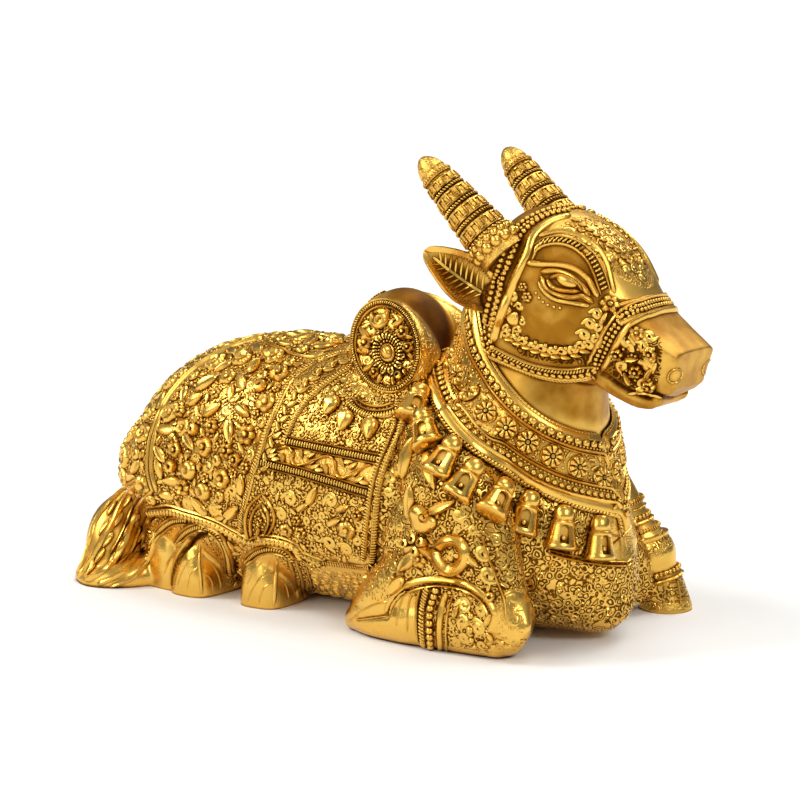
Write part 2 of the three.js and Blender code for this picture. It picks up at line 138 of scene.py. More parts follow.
def ball(sides, rings):
    """A new ball, with each point's place, turn about the upright axis and ring counted from the top."""
    deselect()
    bpy.ops.mesh.primitive_uv_sphere_add(segments=sides, ring_count=rings, radius=1)
    piece = bpy.context.object
    where = points(piece)
    turn = np.arctan2(where[:, 1], where[:, 0])
    ring = np.rint(np.arccos(np.clip(where[:, 2], -1, 1)) / math.pi * rings)
    return piece, where, turn, ring


def loft(rows, sides=28, rings=40, axis=None, side=Y, grow=0.0):
    """A ball is stretched into a closed form through oval sections."""
    piece, _, turn, ring = ball(sides, rings)
    pole = (ring < 0.5) | (ring > rings - 0.5)
    last = len(rows) - 1
    t = np.clip((ring - 1) / (rings - 2), 0, 1) * last
    row = glide(rows, t)
    if axis is None:
        ahead = unit(glide(rows, t + 0.05)[:, :3] - glide(rows, t - 0.05)[:, :3])
    else:
        ahead = np.tile(unit(axis), (len(t), 1))
    side = np.asarray(side, float)
    across = unit(side - ahead * (ahead @ side)[:, None])
    above = np.cross(ahead, across)
    end = np.where(t <= 1e-6, -1.0, np.where(t >= last - 1e-6, 1.0, 0.0))
    where = row[:, :3] + ahead * (end * grow)[:, None]
    a, b = np.cos(-turn), np.sin(-turn)
    power = 2 / row[:, 6]
    reach = np.where(pole, 0.0, 1.0)
    a = np.sign(a) * np.abs(a) ** power * (row[:, 3] + grow) * reach
    b = np.sign(b) * np.abs(b) ** power * (np.where(b > 0, row[:, 4], row[:, 5]) + grow) * reach
    move_points(piece, where + across * a[:, None] + above * b[:, None])
    return piece


def slab(outline):
    """A side view outline in x and z, drawn as a face and pulled out across the figure."""
    deselect()
    bpy.ops.mesh.primitive_circle_add(vertices=len(outline), fill_type="NGON")
    piece = bpy.context.object
    move_points(piece, [(x, -90.0, z) for x, z in outline])
    bpy.ops.object.mode_set(mode="EDIT")
    bpy.ops.mesh.select_all(action="SELECT")
    bpy.ops.mesh.extrude_region_move(TRANSFORM_OT_translate={"value": (0, 180, 0)})
    bpy.ops.mesh.select_all(action="SELECT")
    bpy.ops.mesh.normals_make_consistent(inside=False)
    bpy.ops.object.mode_set(mode="OBJECT")
    return piece


def keep_within(piece, cutter, operation="INTERSECT"):
    modify(piece, "BOOLEAN", object=cutter, operation=operation, solver="EXACT")
    bpy.data.objects.remove(cutter, do_unlink=True)
    return piece


def trim(piece, place, outward):
    """Cuts off what lies beyond a plane and closes the cut."""
    pick(piece)
    bpy.ops.object.mode_set(mode="EDIT")
    bpy.ops.mesh.select_all(action="SELECT")
    bpy.ops.mesh.bisect(plane_co=place, plane_no=outward, use_fill=True, clear_outer=True)
    bpy.ops.object.mode_set(mode="OBJECT")
    return piece


def fuse(pieces, name, grain, smoothing):
    """Overlapping forms become one closed skin."""
    piece = join(pieces, name)
    modify(piece, "REMESH", mode="VOXEL", voxel_size=grain, use_smooth_shade=True)
    modify(piece, "SMOOTH", factor=0.5, iterations=smoothing)
    return piece


def apart(where, line, reach):
    """How far places lie from a line, squared."""
    spots, _ = spaced(line, reach * 0.5)
    return np.min([((where - spot) ** 2).sum(1) for spot in spots], axis=0)


def press(piece, line, reach, depth):
    """Pushes the skin out or in beside a line, like a modelling tool."""
    where = points(piece)
    push = depth * np.exp(-apart(where, line, reach) / reach ** 2)
    move_points(piece, where + points(piece, "normal") * push[:, None])


def tree_of(*pieces):
    verts, faces = [], []
    for piece in pieces:
        start = len(verts)
        verts += [tuple(p) for p in points(piece)]
        faces += [[start + v for v in face.vertices] for face in piece.data.polygons]
    return BVHTree.FromPolygons(verts, faces)


def finish_piece(piece, material, crease=40):
    """Puts a drawn piece in the frame, in metres, and makes it part of the figure."""
    move_points(piece, (points(piece) + SHIFT) * MM)
    pick(piece)
    bpy.ops.object.shade_smooth_by_angle(angle=math.radians(crease))
    piece.data.materials.clear()
    piece.data.materials.append(material)
    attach(piece, "root")
    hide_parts("bull_figure")
    return piece


def sight(u, v):
    """Which way the camera looks through a pixel of its picture."""
    return unit(-VIEW_BACK * VIEW_PIXELS + VIEW_RIGHT * (u - PICTURE / 2) - VIEW_UP * (v - PICTURE / 2))


# Shapes that repeat

def shape_of(piece):
    """Takes a modelled piece as a pattern: its points and faces."""
    shape = points(piece), [tuple(face.vertices) for face in piece.data.polygons]
    bpy.data.objects.remove(piece, do_unlink=True)
    return shape


def ball_shape(segments, rings, form):
    """A ball, shaped point by point: form gets each point's turn and its share from top to foot."""
    piece, _, turn, ring = ball(segments, rings)
    move_points(piece, np.stack(form(turn, ring / rings), 1))
    return shape_of(piece)


def profile_form(radii, heights, petals=0, notch=0.0, dip=0.0):
    """A turned form from foot radii and heights, its edge notched into petals."""
    def form(turn, fall):
        k = np.linspace(0, 1, len(radii))
        r, h = np.interp(fall, k, radii), np.interp(fall, k, heights)
        if petals:
            open_part = np.abs(np.cos(turn * petals / 2)) ** 0.7
            r = r * np.where(r > 0.45, 1 - notch + notch * open_part, 1)
            h = h * np.where((r > 0.35) & (h > 0), 1 - dip + dip * open_part, 1)
        return r * np.cos(turn), r * np.sin(turn), h
    return form


def bead_shape(segments=8, rings=5):
    return ball_shape(segments, rings, lambda turn, fall: (
        np.sin(fall * math.pi) * np.cos(turn), np.sin(fall * math.pi) * np.sin(turn), np.cos(fall * math.pi)))


def granule_shape():
    deselect()
    bpy.ops.mesh.primitive_ico_sphere_add(subdivisions=1, radius=1)
    return shape_of(bpy.context.object)


def strand_shape(slant):
    """One turn of a rope: a long bead laid slantwise."""
    a = math.radians(slant)

    def form(turn, fall):
        u = np.sin(fall * math.pi) * np.cos(turn)
        v = np.sin(fall * math.pi) * np.sin(turn) * 0.42
        return u * math.cos(a) - v * math.sin(a), u * math.sin(a) + v * math.cos(a), np.cos(fall * math.pi)
    return ball_shape(8, 5, form)


def block_shape():
    deselect()
    bpy.ops.mesh.primitive_cube_add(size=2)
    piece = bpy.context.object
    modify(piece, "BEVEL", width=0.5, segments=1)
    return shape_of(piece)


def flower_shape(petals, per_petal=4):
    return ball_shape(petals * per_petal, 7, profile_form(
        (0, 0.2, 0.3, 0.42, 0.72, 0.97, 1.0, 0), (1.0, 0.9, 0.35, 0.6, 0.95, 0.5, -0.3, -0.4),
        petals, 0.25, 0.4))


def rosette_shape():
    return ball_shape(36, 8, profile_form(
        (0, 0.16, 0.22, 0.3, 0.62, 0.86, 1.0, 1.0, 0), (0.9, 0.85, 0.2, 0.62, 0.85, 0.8, 0.5, -0.3, -0.4),
        9, 0.08, 0.75))


def bud_shape():
    """A round berry with a dimple."""
    return ball_shape(12, 6, profile_form(
        (0, 0.18, 0.4, 0.75, 0.98, 0.95, 0), (0.5, 0.45, 1.0, 0.9, 0.3, -0.4, -0.5)))


def boss_shape():
    """A dome with a step round it."""
    return ball_shape(28, 12, profile_form(
        (0, 0.3, 0.62, 0.74, 0.8, 1.0, 1.0, 0), (1.0, 0.93, 0.7, 0.4, 0.5, 0.4, -0.2, -0.3)))


def leaf_shape(segments=10, rings=9):
    """A pointed leaf with a groove along its middle."""
    def form(turn, fall):
        u = np.cos(fall * math.pi)
        body = np.sin(fall * math.pi) ** 1.2 * (1 - 0.25 * u)
        v = np.cos(turn) * body
        h = np.sin(turn)
        h = np.where(h > 0, h, 0.4 * h) * body ** 0.6
        h = h - np.where(np.sin(turn) > 0, 0.45 * np.exp(-(np.cos(turn) / 0.3) ** 2) * body ** 0.6, 0)
        return u, v * 0.45, h
    return ball_shape(segments, rings, form)


def ringlet_shape(major, minor, thick):
    deselect()
    bpy.ops.mesh.primitive_torus_add(major_radius=1 - thick, minor_radius=thick, major_segments=major,
                                     minor_segments=minor)
    piece = bpy.context.object
    move_points(piece, points(piece) / (1, 1, thick))
    return shape_of(piece)


def curl_shape(turns, sides, rings, tail=0.9, thin=1.0):
    """A curl: a round bud at the middle of a spiral that runs out into a thin tail."""
    rows = []
    for i in range(12):
        k = i / 11
        a = turns * 2 * math.pi * k
        r = 0.1 + 0.62 * k ** 0.8
        thick = (0.25 - 0.12 * k) * thin
        rows.append(oval(r * math.cos(a), r * math.sin(a), 0, thick, thick * 2.6))
    a = turns * 2 * math.pi
    out = np.array((-math.sin(a), math.cos(a)))
    last = np.array(rows[-1][:2])
    for k in (0.5, 1.0):
        x, y = last + out * tail * k + np.array((math.cos(a), math.sin(a))) * 0.12 * k
        rows.append(oval(x, y, 0, 0.11 - 0.07 * k, 0.3 - 0.15 * k))
    piece = loft(rows, sides, rings, side=Z)
    move_points(piece, points(piece) * (1, 1, 1.6))
    return shape_of(piece)


def wave_shape():
    """An S scroll with a rolled end each way."""
    rows = []
    for i in range(13):
        k = i / 12 * 2 - 1
        a = k * 3.6
        x = k * 0.9 - 0.25 * math.sin(a * 1.15)
        y = 0.42 * math.sin(k * math.pi)
        rows.append(oval(x, y, 0, 0.13 + 0.06 * abs(k), 0.42))
    piece = loft(rows, 6, 16, side=Z)
    move_points(piece, points(piece) * (1, 1, 1.5))
    return shape_of(piece)


def drop_shape():
    """A hanging drop with a slit down its face."""
    def form(turn, fall):
        u = np.cos(fall * math.pi)
        wide = np.sin(fall * math.pi) * (0.72 - 0.3 * u)
        h = np.sin(turn)
        h = np.where(h > 0, h - 0.3 * np.exp(-(np.cos(turn) / 0.22) ** 2), 0.5 * h)
        return u, np.cos(turn) * wide, h * wide ** 0.5
    return ball_shape(14, 9, form)


def bell_shape():
    """A round capped bell with a waist ring, an arched opening in front and a clapper behind it."""
    rows = []
    for z, r in ((1.0, 0.1), (0.97, 0.34), (0.86, 0.5), (0.7, 0.6), (0.5, 0.64), (0.4, 0.58), (0.34, 0.66),
                 (0.26, 0.76), (0.2, 0.7), (0, 0.76), (-0.3, 0.84), (-0.55, 0.93), (-0.68, 1.0), (-0.8, 0.99),
                 (-0.86, 0.8)):
        rows.append(oval(0, 0, z * 1.32, r, r))
    body = loft(rows, 20, 30, axis=-Z)
    deselect()
    bpy.ops.mesh.primitive_cylinder_add(vertices=14, radius=0.3, depth=1.0, location=(0.9, 0, -0.05),
                                        rotation=(0, math.radians(90), 0))
    arch = bpy.context.object
    deselect()
    bpy.ops.mesh.primitive_cube_add(size=1, location=(0.9, 0, -0.42))
    door = bpy.context.object
    door.scale = (1.0, 0.6, 0.74)
    for cutter in (arch, door):
        keep_within(body, cutter, "DIFFERENCE")
    deselect()
    bpy.ops.mesh.primitive_uv_sphere_add(segments=12, ring_count=8, radius=0.17, location=(0.5, 0, -0.5))
    clapper = bpy.context.object
    pick(clapper)
    bpy.ops.object.transform_apply(location=True, rotation=False, scale=False)
    whole = join([body, clapper], "bell")
    # The bell hangs with its own x away from the surface, so its front becomes the height of the relief.
    where = points(whole)
    move_points(whole, np.stack((where[:, 2], where[:, 1], where[:, 0]), 1))
    shape = shape_of(whole)
    return shape[0], [face[::-1] for face in shape[1]]


def gather_shapes():
    """Makes every pattern that the relief repeats, once."""
    SHAPES.update(
        bead=bead_shape(), eyeball=bead_shape(32, 18), granule=granule_shape(), block=block_shape(),
        strand=strand_shape(60), ear_strand=strand_shape(55), collar_strand=strand_shape(52),
        head_strand=strand_shape(50), leaf=leaf_shape(), small_leaf=leaf_shape(8, 7), wave=wave_shape(),
        flower=flower_shape(6), bloom=flower_shape(5, 6), rosette=rosette_shape(), bud=bud_shape(),
        boss=boss_shape(), drop=drop_shape(), bell=bell_shape(), ringlet=ringlet_shape(10, 4, 0.27),
        rim=ringlet_shape(20, 5, 0.1), curl=curl_shape(0.95, 6, 14, 0.8, 0.8),
        small_curl=curl_shape(0.8, 5, 11, 0.6, 0.75), face_curl=curl_shape(0.95, 6, 18, thin=0.85),
        scroll=curl_shape(1.3, 6, 22, thin=0.6))


# Laying relief on a surface

def snap(tree, where):
    """The nearest place on a surface, and its outward direction."""
    spot, normal, _, _ = tree.find_nearest(Vector(where))
    return np.array(spot), np.array(normal)


# The section of a ridge: shares of its half width and of its height.
RIDGE_SECTION = ((-1, -0.35), (-0.78, 0.55), (0, 1), (0.78, 0.55), (1, -0.35))


class Relief:
    """Gathers copies of repeating shapes, laid on a surface, into one piece."""

    def __init__(self, tree):
        self.tree = tree
        self.parts = []

    def add(self, verts, faces):
        self.parts.append((np.asarray(verts, float), faces))

    def on_skin(self, line):
        """A line of places as it is, and a line of pixels drawn on the surface."""
        return line if len(line[0]) == 3 else drawn(self.tree, line)

    def lay(self, name, spot, normal, along, size, lift=0.0, wrap=False, flip=1):
        """Copies a shape to a place. Size is half length, half width and height, and flip -1 mirrors it."""
        base, faces = SHAPES[name]
        size = np.array(size, float)
        along = unit(along - normal * np.dot(along, normal))
        across = np.cross(normal, along)
        u, v, h = (base * (1, flip, 1) * size).T
        where = spot + np.outer(u, along) + np.outer(v, across)
        if wrap:
            for i, place in enumerate(where):
                hit = self.tree.ray_cast(Vector(place + normal * 3.5), Vector(-normal), 8.0)[0]
                where[i] = self.tree.find_nearest(Vector(place))[0] if hit is None else hit
        self.add(where + np.outer(h + lift, normal), faces if flip > 0 else [face[::-1] for face in faces])
        TAKEN.append((*spot, math.sqrt(size[0] * size[1]) * 0.92))

    def put(self, name, pixel, size, tip=None, lift=0.0, wrap=True):
        """Lays a shape where the camera sees a pixel, pointing at the pixel of its tip."""
        spot, normal = seen(self.tree, *pixel)
        way = X if tip is None else seen(self.tree, *tip)[0] - spot
        self.lay(name, spot, normal, way, size, lift, wrap)
        return spot

    def row(self, name, line, pitch, size, lift=0.0, shift=0.0, flip=1):
        """Lays copies along a line, evenly, beside it by shift."""
        for spot, tangent in zip(*spaced(self.on_skin(line), pitch)):
            spot, normal = snap(self.tree, spot)
            if shift:
                spot, normal = snap(self.tree, spot + np.cross(normal, tangent) * shift)
            self.lay(name, spot, normal, tangent, size, lift, flip=flip)

    def ridge(self, line, wide, high, shift=0.0, pitch=0.9):
        """A half round raised line, thinner at its ends."""
        spots, tangents = spaced(self.on_skin(line), pitch)
        rings = []
        half, last, n = wide / 2, len(spots) - 1, len(RIDGE_SECTION)
        for i, (spot, tangent) in enumerate(zip(spots, tangents)):
            spot, normal = snap(self.tree, spot)
            across = unit(np.cross(normal, tangent))
            if shift:
                spot, normal = snap(self.tree, spot + across * shift)
                across = unit(np.cross(normal, tangent))
            fade = min(1.0, 0.35 + 0.5 * min(i, last - i))
            TAKEN.append((*spot, half))
            for v, h in RIDGE_SECTION:
                rings.append(spot + across * v * half * fade + normal * (h * high * (fade if h > 0 else 1)))
        faces = []
        for a in range(0, last * n, n):
            faces += [(a + k, a + n + k, a + n + (k + 1) % n, a + (k + 1) % n) for k in range(n)]
        faces += [tuple(range(n)), tuple(last * n + k for k in range(n))[::-1]]
        self.add(rings, faces)

    def mirror(self):
        """The same relief on the other side, wherever there is skin to hold it."""
        for verts, faces in list(self.parts):
            other = verts * (1, -1, 1)
            gaps = [self.tree.find_nearest(Vector(place))[3] for place in other[:: max(1, len(other) // 10)]]
            if min(gaps) < 0.45 and max(gaps) < 2.6:
                self.add(other, [face[::-1] for face in faces])

    def solid(self, name):
        mesh = bpy.data.meshes.new(name)
        where = np.vstack([verts for verts, _ in self.parts])
        all_faces, start = [], 0
        for verts, faces in self.parts:
            all_faces += [tuple(start + v for v in face) for face in faces]
            start += len(verts)
        # Nothing reaches below the ground.
        where[:, 2] = np.maximum(where[:, 2], 0.02)
        mesh.from_pydata(where.tolist(), [], all_faces)
        thing = bpy.data.objects.new(name, mesh)
        bpy.context.scene.collection.objects.link(thing)
        pick(thing)
        bpy.ops.object.mode_set(mode="EDIT")
        bpy.ops.mesh.select_all(action="SELECT")
        bpy.ops.mesh.normals_make_consistent(inside=False)
        bpy.ops.object.mode_set(mode="OBJECT")
        return thing

    def piece(self, name, material, crease=50):
        return finish_piece(self.solid(name), material, crease)


def spaced(line, pitch):
    """Even places along a line of points, with the direction of the line at each."""
    line = np.asarray(line, float)
    run = np.concatenate(([0], np.cumsum(np.linalg.norm(np.diff(line, axis=0), axis=1))))
    count = max(2, int(round(run[-1] / pitch)) + 1)
    at = np.linspace(0, run[-1], count)
    spots = np.stack([np.interp(at, run, line[:, k]) for k in range(3)], 1)
    ahead = np.stack([np.interp(np.minimum(at + pitch * 0.7, run[-1]), run, line[:, k]) for k in range(3)], 1)
    behind = np.stack([np.interp(np.maximum(at - pitch * 0.7, 0), run, line[:, k]) for k in range(3)], 1)
    return spots, unit(ahead - behind)


def pixels_of(where):
    """Where places on the figure fall in the camera's picture."""
    off = where - EYE
    deep = -(off @ VIEW_BACK)
    return np.stack((PICTURE / 2 + VIEW_PIXELS * (off @ VIEW_RIGHT) / deep,
                     PICTURE / 2 - VIEW_PIXELS * (off @ VIEW_UP) / deep), 1)


def near_pixels(where):
    """Where places fall in the picture, those on the far side as their mirror image on the near side."""
    return pixels_of(np.where(where[:, 1:2] < 0, where, where * (1, -1, 1)))


def within(flat, outline):
    """Which flat places lie inside an outline."""
    outline = np.asarray(outline, float)
    inside = np.zeros(len(flat), bool)
    for (x0, y0), (x1, y1) in zip(outline, np.roll(outline, -1, 0)):
        crosses = (y0 > flat[:, 1]) != (y1 > flat[:, 1])
        run = x0 + (flat[:, 1] - y0) * (x1 - x0) / (y1 - y0 if y1 != y0 else 1e-9)
        inside ^= crosses & (flat[:, 0] < run)
    return inside


def facing(outline):
    """Body places inside an outline of pixels, on skin that faces the camera and isn't hidden."""
    spots, outs = GROUND["spots"], GROUND["outs"]
    towards = unit(EYE - spots)
    chosen = np.where(within(pixels_of(spots), outline) & ((outs * towards).sum(1) > 0.08))[0]
    return np.array([i for i in chosen if TREES["body"].ray_cast(
        Vector(spots[i] + outs[i] * 0.4), Vector(towards[i]))[0] is None], int)


def fill(relief, chosen, kinds, seed):
    """Scatters shapes over chosen body places, largest first, each clear of what lies there already.
    Each kind: shape, radius kept clear, how many tries, size, whether it wraps, lift."""
    random = np.random.default_rng(seed)
    spots, outs = GROUND["spots"][chosen], GROUND["outs"][chosen]
    low, high = spots.min(0) - 5, spots.max(0) + 5
    for name, clear, tries, size, wrap, lift in kinds:
        near = [spot for spot in TAKEN if all(low[k] < spot[k] < high[k] for k in range(3))]
        # Where nothing is near, a place far below stands in.
        near = near or [(0, 0, -99, 0)]
        count = len(near)
        near = np.vstack((near, np.zeros((tries, 4))))
        if tries < len(spots):
            picks = random.permutation(len(spots))[:tries]
        else:
            picks = random.integers(0, len(spots), tries)
        for i in picks:
            jitter = random.normal(0, 0.25, 3)
            spot = spots[i] + jitter - outs[i] * (jitter @ outs[i])
            gap = ((near[:count, :3] - spot) ** 2).sum(1) - (near[:count, 3] + clear) ** 2
            if gap.min() < 0:
                continue
            grow = random.uniform(0.85, 1.15)
            relief.lay(name, spot, outs[i], random.normal(size=3), np.array(size) * grow, lift, wrap)
            TAKEN[-1] = (*spot, clear)
            near[count] = TAKEN[-1]
            count += 1


def seen(tree, u, v):
    """Where the camera's line through a pixel meets a surface, or comes nearest to it."""
    way = sight(u, v)
    hit = tree.ray_cast(Vector(EYE), Vector(way))
    if hit[0] is not None:
        return np.array(hit[0]), np.array(hit[1])
    place = EYE + way * VIEW_DISTANCE
    for _ in range(6):
        spot, normal = snap(tree, place)
        place = EYE + way * ((spot - EYE) @ way)
    return spot, normal


def drawn(tree, pixels, step=1.5):
    """A smooth line through pixels of the camera's picture, laid on a surface."""
    pixels = np.array(pixels, float)
    run = np.concatenate(([0], np.cumsum(np.linalg.norm(np.diff(pixels, axis=0), axis=1))))
    count = max(4, int(run[-1] / step))
    t = np.interp(np.linspace(0, run[-1], count), run, np.arange(len(pixels)))
    return np.array([seen(tree, u, v)[0] for u, v in glide(pixels, t)])


def at_share(line, share):
    """The point of a line at a share of its length."""
    return line[int(share * (len(line) - 1))]


# Colours and materials

def linear(code):
    """An sRGB hex colour as linear numbers."""
    parts = [int(code[i:i + 2], 16) / 255 for i in (1, 3, 5)]
    return tuple(c / 12.92 if c <= 0.04045 else ((c + 0.055) / 1.055) ** 2.4 for c in parts) + (1.0,)


def add_node(tree, kind, links=(), **settings):
    """Adds a node; its settings go to properties or inputs, and links name what feeds an input."""
    node = tree.nodes.new(kind)
    for key, value in settings.items():
        if hasattr(node, key):
            setattr(node, key, value)
        else:
            node.inputs[key.replace("_", " ")].default_value = value
    for source, output, target in links:
        tree.links.new(source.outputs[output], node.inputs[target])
    return node


def new_material(name):
    material = bpy.data.materials.new(name)
    material.use_nodes = True
    tree = material.node_tree
    tree.nodes.clear()
    return material, tree


def set_ramp(ramp, stops):
    """Gives a colour ramp its stops, each a place and a colour."""
    marks = ramp.color_ramp.elements
    for end, (place, colour) in ((marks[0], stops[0]), (marks[1], stops[-1])):
        end.position, end.color = place, colour
    for place, colour in stops[1:-1]:
        marks.new(place).color = colour


# Chased ground is rings inside rings. How deep the cut is, by the distance from a ring's middle as a share of
# its width, and the width in metres.
RING_CUTS = ((0.25, 0.0), (0.31, 1.0), (0.39, 1.0), (0.46, 0.0), (0.58, 0.05), (0.65, 1.0), (0.7, 1.0),
             (0.78, 0.35), (1.0, 0.3))
RING_WIDTH = 2.3 * MM
# How far a cut, and the film with its painted shade, darken the metal, as shares of full shelter.
CUT_STAIN, FILM_AND_SHADE_STAIN = 0.64, 0.5


def brass(dress, name, reach, patina_share, roughness):
    """Cast brass, chased and polished: warm yellow metal with brown patina left in every recess."""
    found = bpy.data.materials.get(name)
    if found:
        return found
    material, tree = new_material(name)
    place = add_node(tree, "ShaderNodeTexCoord")
    # Patina stays where the polishing wheel can't reach: within 1 to 2 mm of an inner corner.
    shelter = add_node(tree, "ShaderNodeAmbientOcclusion", samples=8, Distance=reach)
    # Cloudy tarnish about 9 mm across.
    cloud = add_node(tree, "ShaderNodeTexNoise", [(place, "Object", "Vector")], Scale=110.0, Detail=3.0)
    # Sand-cast grain of about 0.8 mm, softened by polishing.
    grain = add_node(tree, "ShaderNodeTexNoise", [(place, "Object", "Vector")], Scale=1300.0, Detail=2.0)
    # The rings of the ground are bent by hand-held tools, and cut where the "chasing" attribute asks.
    sway = add_node(tree, "ShaderNodeTexNoise", [(place, "Object", "Vector")], Scale=420.0, Detail=1.0)
    swerve = add_node(tree, "ShaderNodeVectorMath", [(sway, "Color", 0)], operation="SCALE", Scale=0.0016)
    bent = add_node(tree, "ShaderNodeVectorMath", [(place, "Object", 0), (swerve, "Vector", 1)],
                    operation="ADD")
    cells = add_node(tree, "ShaderNodeTexVoronoi", [(bent, "Vector", "Vector")], Scale=1 / RING_WIDTH)
    ringed = add_node(tree, "ShaderNodeValToRGB", [(cells, "Distance", "Fac")])
    set_ramp(ringed, [(spot, (depth, depth, depth, 1)) for spot, depth in RING_CUTS])
    chasing = add_node(tree, "ShaderNodeAttribute", attribute_name="chasing")
    cut_depth = add_node(tree, "ShaderNodeMath", [(ringed, "Color", 0), (chasing, "Fac", 1)],
                         operation="MULTIPLY")
    tarnish = add_node(tree, "ShaderNodeMapRange", [(cloud, "Fac", "Value")], From_Min=0.3, From_Max=0.7,
                       To_Min=-0.07, To_Max=0.07)
    clear = add_node(tree, "ShaderNodeMath", [(shelter, "AO", 0), (tarnish, "Result", 1)], operation="ADD")
    stain = add_node(tree, "ShaderNodeMath", [(cut_depth, "Value", 0)], operation="MULTIPLY")
    stain.inputs[1].default_value = CUT_STAIN
    cut_away = add_node(tree, "ShaderNodeMath", [(clear, "Value", 0), (stain, "Value", 1)],
                        operation="SUBTRACT")
    # Painted shade: a point attribute darkens the smooth head, neck and hump and the tooled grooves. It also
    # gives the horns a brown film and darkens the tail and the ear hollows.
    film_and_shade = add_node(tree, "ShaderNodeAttribute", attribute_name="film_and_shade")
    film_and_shade_darkening = add_node(tree, "ShaderNodeMath", [(film_and_shade, "Fac", 0)], operation="MULTIPLY")
    film_and_shade_darkening.inputs[1].default_value = FILM_AND_SHADE_STAIN
    open_share = add_node(tree, "ShaderNodeMath", [(cut_away, "Value", 0), (film_and_shade_darkening, "Value", 1)],
                          operation="SUBTRACT")
    ramp = add_node(tree, "ShaderNodeValToRGB", [(open_share, "Value", "Fac")])
    set_ramp(ramp, [(patina_share * 0.5, linear(dress.patina_dark)),
                    (patina_share, linear(dress.patina_warm)),
                    (min(0.98, patina_share * 1.3), linear(dress.brass_colour))])
    dull = add_node(tree, "ShaderNodeMapRange", [(open_share, "Value", "Value")], From_Min=0.3, From_Max=0.95,
                    To_Min=0.65, To_Max=roughness)
    rough = add_node(tree, "ShaderNodeMath", [(dull, "Result", 0), (tarnish, "Result", 1)], operation="ADD")
    bump = add_node(tree, "ShaderNodeBump", [(grain, "Fac", "Height")], Strength=0.15, Distance=0.0003)
    carved = add_node(tree, "ShaderNodeBump", [(cut_depth, "Value", "Height"), (bump, "Normal", "Normal")],
                      Strength=0.9, Distance=0.0004, invert=True)
    shader = add_node(tree, "ShaderNodeBsdfPrincipled", [(ramp, "Color", "Base Color"),
                      (rough, "Value", "Roughness"), (carved, "Normal", "Normal")], Metallic=1.0)
    add_node(tree, "ShaderNodeOutputMaterial", [(shader, "BSDF", "Surface")])
    return material


def chased(dress):
    return brass(dress, "chased_brass", dress.chased_shelter, 0.6, 0.27)


def polished(dress):
    return brass(dress, "polished_brass", dress.polished_shelter, 0.5, 0.25)


# Body form

BARREL = [oval(x, 0, (top + low) / 2, wide, (top - low) / 2) for x, wide, top, low in (
    (-101, 7, 41, 20), (-98, 16, 52, 10), (-91, 24, 61.5, 4), (-80, 31, 71, 1), (-66, 36.5, 78, 0),
    (-48, 39.5, 82, 0), (-30, 40, 82.5, 0), (-10, 39.5, 81, 0), (12, 39, 80, 0), (32, 37, 77, 0),
    (48, 33, 72, 0.5), (61, 27.5, 63, 1.5), (70, 22, 54, 2), (76, 15.5, 46, 4), (80, 7, 40, 10))]
NECK_AXIS = unit((0.16, 0, 1))
NECK = [oval(44, 0, 36, 27, 35, 32), oval(47, 0, 52, 27, 31, 27.5), oval(49, 0, 66, 23.8, 28, 23.5),
        oval(51.5, 0, 80, 19.6, 27, 20.5), oval(54, 0, 93, 16.5, 25, 17), oval(56, 0, 106, 15, 19, 12)]
HEAD_TILT = math.radians(33)
HEAD_AXIS = np.array((math.cos(HEAD_TILT), 0, -math.sin(HEAD_TILT)))
HEAD_UP = np.array((math.sin(HEAD_TILT), 0, math.cos(HEAD_TILT)))
HEAD_ORIGIN = np.array((48.0, 0, 108))
# Rows of the head: along the head, half width, top, foot, squareness.
HEAD = [ (-12, 9, 12, -8, 2), (-9.5, 15, 18, -12, 2), (-4, 19.5, 22.5, -15.5, 2), (3, 22, 25.5, -19, 2.2),
    (13, 22, 26.6, -22.5, 2.45), (22, 20.5, 25.6, -20.5, 2.5), (31, 17.6, 22, -16, 2.6),
    (39, 15.4, 18.6, -11, 2.9), (47, 14.6, 16.6, -8.8, 4), (54, 13.4, 15.8, -7, 5),
    (59, 12.2, 15.4, -3, 5.5), (62.5, 11.5, 15, 3, 6)]
# Rows of the flat cheeks, which end in the jaw strap: along the head, half width, top, foot.
CHEEKS = [(3, 17, 6, -17), (6, 20.6, 8, -20), (10, 21.6, 9, -21.6), (17, 21.2, 9, -19.8),
    (24.5, 19.8, 9, -17.4), (31.7, 17.6, 8, -14), (38.4, 15.6, 7, -8)]
NOSE_TOP, NOSE_LOW, CHIN_FRONT = (104.6, 93), (102.0, 79.5), (92.5, 71.8)
HUMP = np.array((1.5, 0, 83.5))
HUMP_LONG, HUMP_HIGH, HUMP_WIDE = 29.0, 34.0, 17.0
CLOTH_REAR = [(-12, 96), (-18, 78), (-22.5, 72), (-25, 58), (-27, 44), (-33, 24)]
CLOTH_FRONT = [(14, 20), (18.5, 38), (21.5, 52), (23, 64), (22, 74), (16, 96)]


def on_head(s, y, t):
    return HEAD_ORIGIN + HEAD_AXIS * s + HEAD_UP * t + Y * y


def barrel(grow=0.0, sides=64, rings=64):
    return loft(BARREL, sides, rings, axis=X, grow=grow)


def neck(grow=0.0):
    return loft(NECK, 48, 24, axis=NECK_AXIS, grow=grow)


def head_form(grow=0.0):
    rows = [oval(*on_head(s, 0, (top + low) / 2), wide, (top - low) / 2, (top - low) / 2, power)
            for s, wide, top, low, power in HEAD]
    piece = loft(rows, 72, 72, axis=HEAD_AXIS, grow=grow)
    for (x1, z1), (x0, z0) in ((NOSE_TOP, NOSE_LOW), (NOSE_LOW, CHIN_FRONT)):
        trim(piece, (x0, 0, z0), unit((z1 - z0, 0, x0 - x1)))
    # The lips draw in below the square nose.
    for s in (-1, 1):
        trim(piece, (103, 11.6 * s, 90), unit((0.15, s, -0.32)))
        trim(piece, (98, 8.8 * s, 76.5), unit((0.35, 0.7 * s, -0.62)))
    return piece


def cheeks():
    rows = [oval(*on_head(s, 0, (top + low) / 2), wide, (top - low) / 2, (top - low) / 2, 6)
            for s, wide, top, low in CHEEKS]
    return loft(rows, 72, 40, axis=HEAD_AXIS)


